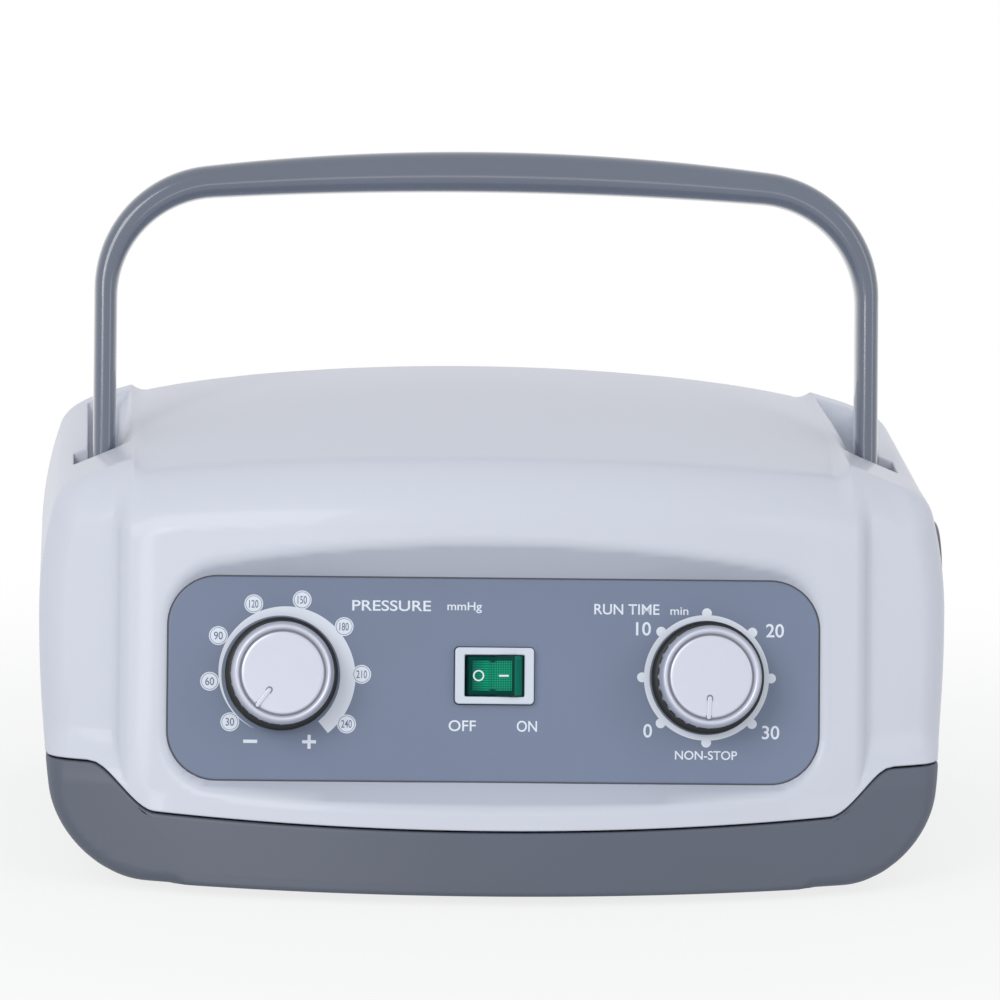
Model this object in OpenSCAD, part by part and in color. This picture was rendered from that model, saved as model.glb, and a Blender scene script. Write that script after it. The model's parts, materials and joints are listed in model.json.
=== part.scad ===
// Compression therapy pump: a table-top air pump with a folding carrying handle, a leaning
// front with a pressure dial, a timer dial and a lit rocker switch, and a grey lower tray.
// Millimetres. The front faces -Y, +Z is up, and the origin lies on the table under the
// middle of the body.

/* [Body] */
// Width of the body across its two cheeks
body_w = 244.6; // [236:0.2:300]
// Depth of the body, from the foremost point of the bow to the rear wall
body_d = 180; // [176:1:220]
// Height of the top of the raised middle above the table
body_h = 118.5; // [114:0.5:145]
// Thickness of the two housing shells
wall = 2.5; // [2:0.1:3]
// Width of each cheek beside the raised middle
cheek_w = 22.5; // [21:0.1:26]
// Distance that the middle of the front stands before the cheeks
step_d = 4; // [2:0.1:6]
// Backward lean of the front, in degrees
lean = 12.7; // [10:0.1:15]
// Radius of the front's bow, seen from above
bow_r = 315; // [280:5:500]
// Height of the cheek tops beside the raised middle
cheek_z = 108.4; // [104:0.1:112]
// Outward fall of the cheek tops, in degrees
cheek_slope = 22.6; // [15:0.1:25]
// Radius of the cheeks' lower corners, seen from the front
corner_r = 25; // [18:1:30]
// Radius of the cheeks' shoulders
shoulder_r = 11; // [6:0.5:13]
// Height of the seam in the middle of the front
seam_mid_z = 19.3; // [18:0.1:22]
// Height of the seam at the cheeks
seam_side_z = 32.5; // [28:0.1:36]
// Width of the shadow line between the two shells
seam_gap = 0.4; // [0.2:0.05:0.8]

/* [Panel] */
// Bare width left on each side of the control panel
panel_margin = 13.3; // [12:0.1:20]
// Height of the control panel along its slope
panel_hgt = 53.9; // [50:0.1:58]
// Corner radius of the control panel
panel_r = 13; // [8:0.5:16]
// Thickness of the control panel
panel_t = 2; // [1.5:0.1:3]
// Height of the switch's centre above the table
panel_z = 56.9; // [54:0.1:60]
// Depth of the panel below the middle of the bow
recess_d = 13.3; // [12:0.1:15]

/* [Dials and switch] */
// Distance from the panel's end to a dial's axis
dial_inset = 29.95; // [28:0.05:34]
// Diameter of the dials' fluted skirt
skirt_d = 30; // [26:0.5:32]
// Diameter of the dials' silver cap
cap_d = 27.2; // [24:0.1:28]
// Height of the dials above the panel
dial_hgt = 15.5; // [14:0.5:17]
// Diameter of the dials' spindles
spindle_d = 6; // [5:0.1:6.4]
// Turn of the pressure dial
pressure_turn = 270; // [240:5:300]
// Width of the switch's bezel
switch_w = 21; // [20:0.1:23]
// Height of the switch's bezel
switch_hgt = 15; // [14:0.1:16]
// Swing of the switch's rocker, in degrees
rocker_swing = 20; // [16:1:22]

/* [Handle] */
// Width of a handle leg
leg_w = 6.2; // [5:0.1:7]
// Depth of the handle's section
grip_d = 13; // [11:0.1:14]
// Thickness of the grip in its middle
grip_t = 9.8; // [8:0.1:12]
// Backward lean of the handle at its front stop, in degrees
handle_lean = 12; // [8:0.5:14]
// Width of the slots that the legs stand in
slot_w = 12.7; // [11:0.1:14]
// Diameter of the pivot pins
pivot_d = 5; // [4:0.1:6]

/* [Air] */
// Diameter of every hose barb
barb_d = 4.4; // [3.5:0.1:5]
// Wall of the inner hoses
hose_wall = 1.1; // [0.8:0.1:1.1]
// Diameter of the outlet's collar
collar_d = 34; // [32:0.5:36]
// Distance that the outlet's collar stands out of the side
collar_out = 3.3; // [2:0.1:4]

/* [Fits] */
// Radial clearance of turning pins and spindles
run_gap = 0.05; // [0.02:0.01:0.1]
// Gap between pieces that move past each other
move_gap = 0.4; // [0.3:0.05:0.6]
// Gap around pieces set into an opening
set_gap = 0.15; // [0.1:0.05:0.3]

/* [Hidden] */
$fn = 48;

FAR = 260;
white = [0.86, 0.88, 0.93];
slate = [0.42, 0.46, 0.53];
tray_grey = [0.36, 0.38, 0.44];
steel = [0.75, 0.76, 0.78];

// The outer form
foot_h = 2.5;
hump_half = body_w / 2 - cheek_w;
front_y = -body_d / 2;
rear_y = body_d / 2;
crown_r = 625;
edge_r = 4;
top_r = 720;
top_y = 35;
plan_r = 25;
rear_r = 26;
hump_rear_r = 24;
rear_knee_z = 66;
rear_in = 11;
rear_edge_r = 6;
shoulder_z = cheek_z - tan(cheek_slope) * (body_w / 2 - shoulder_r - hump_half)
    - shoulder_r / cos(cheek_slope);
seam_x0 = hump_half - 13;
seam_x1 = hump_half + 7;

// The panel's frame: its origin is the switch's centre on the panel's face
panel_y = front_y + (panel_z - foot_h) * tan(lean) + recess_d / cos(lean);
panel_w = body_w - 2 * cheek_w - 2 * panel_margin;
panel_off = -1.15;
dial_x = panel_w / 2 - dial_inset;
flare_up = 33;
flare_down = 28;
flare_side = 40;
flare_h = 24;
seat_back = panel_t + wall;

// The handle and its wells
pivot_y = -8;
pivot_z = cheek_z - 26.4;
slot_x0 = hump_half;
slot_x1 = slot_x0 + slot_w;
slot_back = rear_y - 23;
well_z0 = pivot_z - 8;
well_front = pivot_y - 8;
well_roof = cheek_z - 8.6;
washer_t = 0.5;
leg_x0 = slot_x0 + washer_t;
leg_x1 = leg_x0 + leg_w;
eye_r = 7;
hump_rear_top = body_h - pow(rear_y - rear_in - top_y, 2) / (2 * top_r);
grip_in = norm([rear_y - rear_in - pivot_y, hump_rear_top - pivot_z]) + 2.2;
grip_out = grip_in + grip_t;
grip_crown_r = 620;
corner_out = 29;
corner_in = 21;
pin_head_d = 9;
pin_head_t = 2;

// The dials and what they turn
bush_d = 9;
bush_out = 4;
nut_af = 12;
nut_t = 2.4;
regulator_d = 26;
regulator_l = 22;
timer_side = 26;
timer_l = 20;
spindle_tip = 11;
flat_cut = 1.2;
skirt_z0 = 0.8;
cap_t = 3.5;

// The switch
switch_face = 2;
switch_body_w = 18.8;
switch_body_h = 12.8;
switch_body_l = 17;
rocker_w = 15.9;
rocker_h = 11.1;
rocker_pivot = -1;
stub_d = 2;
stub_l = 0.8;

// The air side
outlet_y = 4;
outlet_z = 71;
outlet_pitch = 7.2;
manifold_w = 3 * outlet_pitch + barb_d + 2;
manifold_top = outlet_z + 12;
manifold_low = outlet_z - 13;
manifold_x = slot_x1 + 2 + 0.4;
manifold_back = body_w / 2 - wall;
nozzle_d = 5.2;
nozzle_bore = 3;
nozzle_root_d = nozzle_d + 0.8;
collar_floor_t = 1;
comp_y = outlet_y;
comp_z = 42;
frame_half = 34;
plate_t = 3;
diaphragm_t = 1.5;
head_d = 52;
head_l = 14;
head_x = frame_half + diaphragm_t + head_l / 2;
comp_x = -dial_x + head_x;
frame_w = 56;
base_z = 12;
coil_y0 = 10.2;
coil_y1 = 20.8;
stroke = 1.5;
nozzle_z = comp_z + head_d / 2 + 8;
valve_x = body_w / 2 - 60.3;
valve_d = 50;
motor_z0 = 8;
motor_h = 18;
valve_z0 = motor_z0 + motor_h;
rotor_d = 36;
rotor_t = 5;
rotor_z0 = valve_z0 + 4;
cover_z0 = rotor_z0 + rotor_t + 1;
cover_t = 6;
valve_port_z = cover_z0 - 3;
hose_d = barb_d + 2 * hose_wall;
row_x = manifold_back - move_gap - hose_d / 2;
bend_r = 9;
barb_l = 8;

// The rear and the board
inlet_x = 56.3 - body_w / 2;
inlet_z = 46;
inlet_w = 27;
inlet_h = 20;
inlet_l = 20;
flange_t = 1.8;
filter_x = valve_x;
filter_z = 50;
filter_w = 40;
filter_h = 28;
board_w = 104;
board_dp = 34;
board_x = valve_x - 60;
board_y = rear_y - 31;
board_z = 14;
board_t = 1.6;
terminal_x = 30;
terminal_y = -11;
wire_d = 1.8;
floor_z = foot_h + wall;

// Fasteners and feet
screw_d = 3.5;
boss_d = 10;
boss_x = hump_half - 13.8;
boss_front = front_y + 44;
boss_rear = rear_y - 24;
boss_top = 20;
foot_d = 14;
foot_x = body_w / 2 - 50.3;
foot_front = front_y + 34;
foot_rear = rear_y - 40;

// Points of an arc, of a half outline joined with its mirror image, and of the seam
function arc(c, r, a0, a1, n = 10) =
    [for (i = [0:n]) c + r * [cos(a0 + (a1 - a0) * i / n), sin(a0 + (a1 - a0) * i / n)]];
function both_sides(pts) = concat(pts, [for (i = [len(pts) - 1:-1:0]) [-pts[i][0], pts[i][1]]]);
function smooth(t) = t * t * (3 - 2 * t);
function seam_z(x) = x <= seam_x0 ? seam_mid_z : x >= seam_x1 ? seam_side_z
    : seam_mid_z + (seam_side_z - seam_mid_z) * smooth((x - seam_x0) / (seam_x1 - seam_x0));

// Outlines of the form, drawn in by i for the inner faces of the shells
function cheek_front(i) = both_sides(concat(
    arc([body_w / 2 - corner_r, foot_h + corner_r], corner_r - i, -90, 0),
    arc([body_w / 2 - shoulder_r, shoulder_z], shoulder_r - i, 0, 90 - cheek_slope),
    [[hump_half, cheek_z - i / cos(cheek_slope)]]));
edge_z = body_h - crown_r + sqrt(pow(crown_r - edge_r, 2) - pow(hump_half - edge_r, 2));
edge_a = acos((hump_half - edge_r) / (crown_r - edge_r));
function hump_front(i) = both_sides(concat([[hump_half - i, foot_h + i]],
    arc([hump_half - edge_r, edge_z], edge_r - i, 0, edge_a, 6),
    arc([0, body_h - crown_r], crown_r - i, edge_a, 90, 10)));
plan_y = bow_r + step_d - sqrt(pow(bow_r - plan_r, 2) - pow(body_w / 2 - plan_r, 2));
plan_a = atan2(plan_y - bow_r - step_d, body_w / 2 - plan_r);
function cheek_plan(i) = both_sides(concat(arc([0, bow_r + step_d], bow_r - i, -90, plan_a),
    arc([body_w / 2 - plan_r, plan_y], plan_r - i, plan_a, 0), [[body_w / 2 - i, FAR]]));
function rear_plan(half, r, i) = both_sides(concat([[half - i, -FAR]],
    arc([half - r, rear_y - r], r - i, 0, 90)));
function side_outline(i) = concat([[-FAR, foot_h + i], [rear_y - i, foot_h + i], [rear_y - i, rear_knee_z]],
    arc([rear_y - rear_in - rear_edge_r, hump_rear_top - rear_edge_r], rear_edge_r - i, 12, 88, 5),
    [for (k = [1:12]) let (y = rear_y - rear_in - rear_edge_r - k * (body_d - 10) / 12)
        [y, body_h - top_r + sqrt(pow(top_r - i, 2) - pow(y - top_y, 2))]],
    [[-FAR, body_h - i]]);

module along_y(pts) {
    rotate([90, 0, 0]) linear_extrude(2 * FAR, center = true) polygon(pts);
}

module along_x(pts, len = 2 * FAR) {
    rotate([90, 0, 90]) linear_extrude(len, center = true) polygon(pts);
}

module upright(pts) {
    translate([0, 0, -FAR / 2]) linear_extrude(2 * FAR) polygon(pts);
}

// A prism or a cylinder whose front leans back as the front does
module leaning(angle = lean, z = foot_h, y = front_y) {
    translate([0, y, z]) rotate([-angle, 0, 0]) children();
}

module body_solid(i) {
    intersection() {
        union() {
            intersection() {
                along_y(cheek_front(i));
                leaning() translate([0, 0, -FAR]) linear_extrude(2 * FAR) polygon(cheek_plan(i));
                upright(rear_plan(body_w / 2, rear_r, i));
            }
            intersection() {
                along_y(hump_front(i));
                leaning() translate([0, bow_r, 0]) cylinder(r = bow_r - i, h = 2 * FAR, center = true, $fn = 180);
                upright(rear_plan(hump_half, hump_rear_r, i));
            }
        }
        along_x(side_outline(i));
        // The soft edge between the front and the top
        translate([0, front_y + (body_h - 11) * tan(lean) + 1.2, body_h - 11]) rotate([-48, 0, 0])
            translate([0, bow_r, 0]) cylinder(r = bow_r - i, h = 3 * FAR, center = true, $fn = 180);
    }
}

module below_seam(gap) {
    steps = 12;
    along_y(both_sides(concat([[FAR, -10], [FAR, seam_side_z - gap]],
        [for (k = [steps:-1:0]) let (x = seam_x0 + (seam_x1 - seam_x0) * k / steps) [x, seam_z(x) - gap]])));
}

module rounded(w, h, r) {
    square([w, h - 2 * r], center = true);
    square([w - 2 * r, h], center = true);
    for (x = [-1, 1], y = [-1, 1]) translate([x * (w / 2 - r), y * (h / 2 - r)]) circle(r);
}

module block(w, h, r, z0, z1) {
    translate([0, 0, z0]) linear_extrude(z1 - z0) rounded(w, h, r);
}

module on_panel(u = 0, w = 0, lift = 0) {
    translate([0, panel_y, panel_z]) rotate([90 - lean, 0, 0]) translate([u, w, lift]) children();
}

// The flared recess before the panel, made larger all round by grow
module recess(grow) {
    up = flare_h * tan(flare_up);
    down = flare_h * tan(flare_down);
    side = flare_h * tan(flare_side);
    on_panel(0, panel_off) {
        hull() {
            block(panel_w + 2 * set_gap + 2 * grow, panel_hgt + 2 * set_gap + 2 * grow, panel_r + grow, -grow, 0.1 - grow);
            translate([0, (up - down) / 2, 0])
                block(panel_w + 2 * side + 2 * grow, panel_hgt + up + down + 2 * grow, panel_r + side / 2 + grow,
                    flare_h, flare_h + 0.1);
        }
        block(panel_w + 2 * set_gap + 2 * grow, panel_hgt + 2 * set_gap + 2 * grow, panel_r + grow,
            -panel_t - grow, 1);
    }
}

module panel_holes(z0, z1) {
    translate([0, 0, z0]) {
        translate([-(switch_body_w / 2 + set_gap), -(switch_body_h / 2 + set_gap), 0])
            cube([switch_body_w + 2 * set_gap, switch_body_h + 2 * set_gap, z1 - z0]);
        for (s = [-1, 1]) translate([s * dial_x, 0, 0]) cylinder(d = bush_d + 2 * set_gap, h = z1 - z0);
    }
}

// The hollow that a handle leg stands in: a well under the cheek's top and its mouth
module well(grow) {
    mouth_y = function (z) pivot_y + (z - pivot_z) * tan(handle_lean) - (grip_d / 2 + move_gap) / cos(handle_lean);
    for (s = [0, 1]) mirror([s, 0, 0]) {
        translate([slot_x0 - (grow > 0 ? grow : 0), well_front - grow, well_z0 - grow])
            cube([slot_w + 2 * grow, slot_back - well_front + 2 * grow, well_roof - well_z0 + grow + (grow > 0 ? 12 : 0)]);
        if (grow == 0) translate([slot_x0 + slot_w / 2, 0, 0])
            along_x([[mouth_y(well_roof - 3), well_roof - 3], [mouth_y(cheek_z + 20), cheek_z + 20],
                [slot_back, cheek_z + 20], [slot_back, well_roof - 3]], slot_w);
    }
}

module screw_spots() {
    for (x = [-boss_x, boss_x], y = [boss_front, boss_rear]) translate([x, y, 0]) children();
}

module foot_spots() {
    for (x = [-foot_x, foot_x], y = [foot_front, foot_rear]) translate([x, y, 0]) children();
}

module at_rear(x, z) {
    translate([x, rear_y, z]) rotate([-90, 0, 0]) mirror([0, 1, 0]) children();
}

module at_outlet() {
    translate([body_w / 2, outlet_y, outlet_z]) rotate([0, 90, 0]) rotate([0, 0, 90]) children();
}

module upper_housing() {
    color(white) difference() {
        body_solid(0);
        difference() {
            body_solid(wall);
            recess(wall);
            well(2);
            intersection() {
                body_solid(wall / 2);
                screw_spots() translate([0, 0, boss_top]) cylinder(d = boss_d, h = FAR);
            }
        }
        below_seam(-seam_gap / 2);
        recess(0);
        well(0);
        on_panel() panel_holes(-seat_back - 4, 1);
        screw_spots() cylinder(d = screw_d - 0.7, h = boss_top + 14);
        for (s = [0, 1]) mirror([s, 0, 0]) translate([slot_x0 - 2.5, pivot_y, pivot_z]) rotate([0, 90, 0])
            cylinder(d = pivot_d, h = slot_w + 4);
        at_rear(inlet_x, inlet_z) block(inlet_w + 2 * set_gap, inlet_h + 2 * set_gap, 3, -6, 4);
        at_rear(inlet_x, inlet_z) for (s = [-1, 1]) translate([s * 20, 0, -6]) cylinder(d = 2.6, h = 10);
        at_rear(filter_x, filter_z) block(filter_w - 6, filter_h - 6, 2, -6, 4);
        at_outlet() translate([0, 0, -6]) cylinder(d = collar_d - 8 + 2 * set_gap, h = 10);
    }
}

module lower_housing() {
    color(tray_grey) difference() {
        union() {
            intersection() {
                difference() {
                    body_solid(0);
                    body_solid(wall);
                }
                below_seam(seam_gap / 2);
            }
            screw_spots() translate([0, 0, foot_h + wall / 2]) cylinder(d = boss_d, h = boss_top - foot_h - wall / 2);
            for (x = [-1, 1], y = [-1, 1])
                translate([comp_x + x * (frame_half - 6), comp_y + y * (frame_w / 2 - 6), foot_h + wall / 2])
                    cylinder(d = 9, h = base_z - 5 - foot_h - wall / 2);
            for (x = [-1, 1], y = [-1, 1])
                translate([board_x + x * (board_w / 2 - 4), board_y + y * (board_dp / 2 - 4), foot_h + wall / 2])
                    cylinder(d = 6, h = board_z - foot_h - wall / 2);
            translate([valve_x, outlet_y, foot_h + wall / 2]) difference() {
                cylinder(d = valve_d + 4, h = 5.5);
                translate([0, 0, motor_z0 - foot_h - wall / 2]) cylinder(d = valve_d + 2 * set_gap, h = 10);
            }
        }
        screw_spots() cylinder(d = screw_d + 0.4, h = 40);
        screw_spots() cylinder(d = 8, h = foot_h + 7);
        foot_spots() translate([0, 0, foot_h - 1]) cylinder(d = foot_d + 2 * set_gap, h = 1 + 1.2);
        for (k = [-3:3]) translate([comp_x + 10 * k, comp_y, foot_h - 1]) block(3, 34, 1.49, 0, wall + 2);
        for (x = [-1, 1], y = [-1, 1])
            translate([comp_x + x * (frame_half - 6), comp_y + y * (frame_w / 2 - 6), floor_z])
                cylinder(d = 3, h = base_z);
        for (x = [-1, 1], y = [-1, 1])
            translate([board_x + x * (board_w / 2 - 4), board_y + y * (board_dp / 2 - 4), floor_z])
                cylinder(d = 2, h = board_z);
    }
}

module control_panel() {
    color(slate) on_panel() difference() {
        translate([0, panel_off, 0]) block(panel_w, panel_hgt, panel_r, -panel_t, 0);
        panel_holes(-panel_t - 1, 1);
    }
}

// Fluted skirt of a dial, open below over its nut, with a D-shaped bore in its hub
module dial_skirt() {
    flutes = 28;
    points = 4;
    n = flutes * points;
    difference() {
        translate([0, 0, skirt_z0]) linear_extrude(dial_hgt - cap_t - skirt_z0)
            polygon([for (k = [0:n - 1]) let (r = skirt_d / 2 - 0.25 * (1 - cos(360 * flutes * k / n)))
                r * [cos(360 * k / n), sin(360 * k / n)]]);
        translate([0, 0, skirt_z0 - 1]) difference() {
            cylinder(d = skirt_d - 4.4, h = dial_hgt - cap_t - skirt_z0 - 1.2);
            translate([0, 0, 5]) cylinder(d = 11, h = 20);
        }
        translate([0, 0, skirt_z0 - 1]) cylinder(d = 15, h = 5.4);
        intersection() {
            translate([0, 0, -1]) cylinder(d = spindle_d + 0.04, h = spindle_tip + 1.1);
            translate([-10, -spindle_d / 2 + flat_cut - 0.02, -1]) cube([20, 20, 30]);
        }
    }
}

// Silver cap of a dial: a raised rim, a dished face and the pointer's ridge
module dial_cap(pointer) {
    rotate([0, 0, pointer]) {
        rotate_extrude() polygon(concat([[0, dial_hgt - cap_t], [cap_d / 2 - 0.6, dial_hgt - cap_t],
            [cap_d / 2, dial_hgt - cap_t + 0.6], [cap_d / 2, dial_hgt - 1]],
            arc([cap_d / 2 - 1, dial_hgt - 1], 1, 0, 90, 4),
            [[cap_d / 2 - 2, dial_hgt], [cap_d / 2 - 2.8, dial_hgt - 0.7], [0, dial_hgt - 0.7]]));
        translate([-0.6, -cap_d / 2 + 2.6, dial_hgt - 1]) cube([1.2, 6.2, 0.8]);
    }
}

module spindle(from) {
    intersection() {
        translate([0, 0, from]) cylinder(d = spindle_d, h = spindle_tip - from);
        union() {
            translate([-10, -spindle_d / 2 + flat_cut, bush_out]) cube([20, 20, 20]);
            translate([-10, -10, from - 1]) cube([20, 20, bush_out + 1 - from]);
        }
    }
}

module bush() {
    translate([0, 0, -seat_back]) cylinder(d = bush_d, h = seat_back + bush_out);
}

module spindle_bore() {
    translate([0, 0, -seat_back - 6]) cylinder(d = spindle_d + 2 * run_gap, h = 30);
}

module pressure_dial_skirt() { color([0.2, 0.2, 0.22]) on_panel(-dial_x) dial_skirt(); }
module pressure_dial_cap() { color(steel) on_panel(-dial_x) dial_cap(-pressure_turn / 2 + 97); }
module timer_dial_skirt() { color([0.2, 0.2, 0.22]) on_panel(dial_x) dial_skirt(); }
module timer_dial_cap() { color(steel) on_panel(dial_x) dial_cap(0); }
module pressure_spindle() { color(steel) on_panel(-dial_x) spindle(-seat_back - 6); }
module timer_spindle() { color(steel) on_panel(dial_x) spindle(-seat_back - 6); }

module pressure_regulator() {
    color([0.72, 0.6, 0.32]) on_panel(-dial_x) difference() {
        union() {
            bush();
            translate([0, 0, -seat_back - regulator_l]) cylinder(d = regulator_d, h = regulator_l);
            translate([0, 0, -seat_back - regulator_l / 2]) rotate([lean - 90, 0, 0])
                cylinder(d = barb_d, h = regulator_d / 2 + 2 + barb_l);
        }
        spindle_bore();
        translate([0, 0, -seat_back - regulator_l / 2]) rotate([lean - 90, 0, 0])
            translate([0, 0, 6]) cylinder(d = barb_d - 1.6, h = regulator_d / 2 + barb_l);
    }
}

module timer_unit() {
    color([0.85, 0.83, 0.76]) on_panel(dial_x) difference() {
        union() {
            bush();
            block(timer_side, timer_side, 2, -seat_back - timer_l, -seat_back);
            for (s = [-1, 1]) translate([s * 7 - 2.4, -0.4, -seat_back - timer_l - 7]) cube([4.8, 0.8, 8]);
        }
        spindle_bore();
    }
}

module spindle_nuts() {
    color(steel) for (s = [-1, 1]) on_panel(s * dial_x) difference() {
        cylinder(d = nut_af / cos(30), h = nut_t, $fn = 6);
        translate([0, 0, -1]) cylinder(d = bush_d, h = nut_t + 2);
    }
}

module switch_frame() {
    color([0.88, 0.89, 0.9]) on_panel() difference() {
        union() {
            block(switch_w, switch_hgt, 1, 0, switch_face);
            block(switch_body_w, switch_body_h, 0.8, -switch_body_l, 0);
        }
        translate([-rocker_w / 2, -rocker_h / 2, -8]) cube([rocker_w, rocker_h, 20]);
        translate([0, 0, rocker_pivot]) rotate([90, 0, 0])
            cylinder(d = stub_d + 2 * run_gap, h = rocker_h + 2 * stub_l + 0.2, center = true);
    }
}

// The rocker at rest, with its left side pressed in
module switch_rocker() {
    half = rocker_w / 2 - 0.85;
    rise = half * tan(rocker_swing / 2);
    color([0.05, 0.55, 0.3, 0.8]) on_panel(0, 0, rocker_pivot) rotate([0, -rocker_swing / 2, 0]) {
        rotate([90, 0, 0]) linear_extrude(rocker_h - 0.5, center = true)
            polygon(concat([[0, 2.9], [-half, 2.9 + rise], [-half - 0.1, -0.4]], arc([0, 0], 4.4, 200, 340, 8),
                [[half + 0.1, -0.4], [half, 2.9 + rise]]));
        rotate([90, 0, 0]) cylinder(d = stub_d, h = rocker_h + 2 * stub_l - 0.1, center = true);
    }
}

module switch_lamp() {
    color([0.9, 0.5, 0.3]) on_panel() translate([-4, 0, -7.5]) rotate([0, 90, 0]) cylinder(d = 1, h = 8);
}

module switch_terminals() {
    color([0.8, 0.7, 0.4]) on_panel() for (k = [-1:1])
        translate([6 * k - 0.4, -2.4, -switch_body_l - 8]) cube([0.8, 4.8, 8]);
}

// The bail's outline in its own plane: x across, y up along the legs from the pivot
function bail_edge(half, top, r, drop_r, low = 0) =
    let (cx = half - r, cy = top - drop_r + sqrt(pow(drop_r - r, 2) - pow(cx, 2)),
        a = acos(cx / (drop_r - r)))
    both_sides(concat([[half, low]], arc([cx, cy], r, 0, a), arc([0, top - drop_r], drop_r, a, 90, 8)));

module bail_plane() {
    translate([0, pivot_y, pivot_z]) rotate([-handle_lean, 0, 0]) rotate([90, 0, 0]) children();
}

module handle() {
    color(slate) bail_plane() difference() {
        union() {
            linear_extrude(grip_d, center = true) difference() {
                polygon(bail_edge(leg_x1, grip_out, corner_out, grip_crown_r));
                polygon(bail_edge(leg_x0, grip_in, corner_in, 1.5 * grip_crown_r, -1));
            }
            for (s = [0, 1]) mirror([s, 0, 0]) translate([leg_x0, 0, 0]) rotate([0, 90, 0]) cylinder(r = eye_r, h = leg_w);
        }
        for (s = [0, 1]) mirror([s, 0, 0]) translate([leg_x0 - 1, 0, 0]) rotate([0, 90, 0])
            cylinder(d = pivot_d + 2 * run_gap, h = leg_w + 2);
    }
}

module at_pivots(x) {
    for (s = [0, 1]) mirror([s, 0, 0]) translate([x, pivot_y, pivot_z]) rotate([0, 90, 0]) children();
}

module handle_pivot_pins() {
    color(steel) at_pivots(slot_x0 - 2) {
        cylinder(d = pivot_d, h = slot_w + 3.4);
        translate([0, 0, -pin_head_t]) cylinder(d = pin_head_d, h = pin_head_t);
    }
}

module handle_friction_washers() {
    color(steel) at_pivots(slot_x0) difference() {
        cylinder(d = 11, h = washer_t);
        translate([0, 0, -1]) cylinder(d = pivot_d, h = 2);
    }
}

module handle_spacers() {
    color([0.9, 0.9, 0.9]) at_pivots(leg_x1) difference() {
        cylinder(d = 9, h = slot_x1 - leg_x1);
        translate([0, 0, -1]) cylinder(d = pivot_d, h = slot_w);
    }
}

module outlet_spots() {
    for (x = [-1, 1], y = [-1, 1]) translate([x * 5.2, y * 5.2, 0]) children();
}

module outlet_collar() {
    color([0.33, 0.33, 0.34]) at_outlet() difference() {
        union() {
            cylinder(d = collar_d, h = collar_out);
            translate([0, 0, -wall]) cylinder(d = collar_d - 8, h = wall);
        }
        translate([0, 0, collar_floor_t - wall]) cylinder(d = collar_d - 9, h = 20);
        outlet_spots() translate([0, 0, -wall - 1]) cylinder(d = nozzle_root_d + 0.1, h = 4);
    }
}

module outlet_manifold() {
    color([0.8, 0.8, 0.82]) difference() {
        union() {
            translate([manifold_x, outlet_y - manifold_w / 2, manifold_low])
                cube([manifold_back - manifold_x, manifold_w, manifold_top - manifold_low]);
            translate([row_x - hose_d / 2, outlet_y - manifold_w / 2, manifold_low])
                cube([manifold_back - row_x + hose_d / 2, manifold_w, 12]);
            at_outlet() outlet_spots() translate([0, 0, -wall - 1]) {
                cylinder(d = nozzle_d, h = wall + collar_out + 0.7);
                cylinder(d = nozzle_root_d, h = 1 + collar_floor_t);
            }
            outlet_rows() translate([0, 0, manifold_low - barb_l]) cylinder(d = barb_d, h = barb_l + 1);
        }
        at_outlet() outlet_spots() translate([0, 0, -wall - 3]) cylinder(d = nozzle_bore, h = 20);
        outlet_rows() translate([0, 0, manifold_low - 1 - barb_l]) cylinder(d = barb_d - 1.6, h = barb_l + 6);
    }
}

module outlet_rows() {
    for (k = [-1.5:1:1.5]) translate([row_x, outlet_y + k * outlet_pitch, 0]) children();
}

module hose_section() {
    difference() {
        circle(d = hose_d);
        circle(d = barb_d);
    }
}

module hose_run(len) {
    linear_extrude(len) hose_section();
}

// A bend that starts at the origin along +Z and turns towards +X
module hose_bend(angle, r = bend_r) {
    translate([r, 0, 0]) rotate([90, 0, 0]) rotate([0, 0, 180 - angle]) rotate_extrude(angle = angle)
        translate([r, 0]) hose_section();
}

module outlet_hoses() {
    top = manifold_low;
    x1 = row_x;
    x0 = valve_x + valve_d / 2 + 1;
    color([0.9, 0.9, 0.88, 0.7]) for (k = [-1.5:1:1.5]) translate([0, outlet_y + k * outlet_pitch, 0]) {
        translate([x1, 0, valve_port_z + bend_r]) hose_run(top - valve_port_z - bend_r);
        translate([x1, 0, valve_port_z + bend_r]) rotate([180, 0, 0]) mirror([1, 0, 0]) hose_bend(90);
        translate([x0, 0, valve_port_z]) rotate([0, 90, 0]) hose_run(x1 - bend_r - x0);
    }
}

module supply_hose() {
    x0 = comp_x + head_x;
    z0 = nozzle_z - barb_l;
    arch_z = nozzle_z + 8 + bend_r;
    inlet_top = cover_z0 + cover_t;
    color([0.9, 0.9, 0.88, 0.7]) translate([0, comp_y, 0]) {
        translate([x0, 0, z0]) hose_run(arch_z - bend_r - z0);
        translate([x0, 0, arch_z - bend_r]) hose_bend(90);
        translate([x0 + bend_r, 0, arch_z]) rotate([0, 90, 0]) hose_run(valve_x - x0 - 2 * bend_r);
        translate([valve_x, 0, arch_z - bend_r]) mirror([1, 0, 0]) hose_bend(90);
        translate([valve_x, 0, inlet_top]) hose_run(arch_z - bend_r - inlet_top);
    }
}

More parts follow.
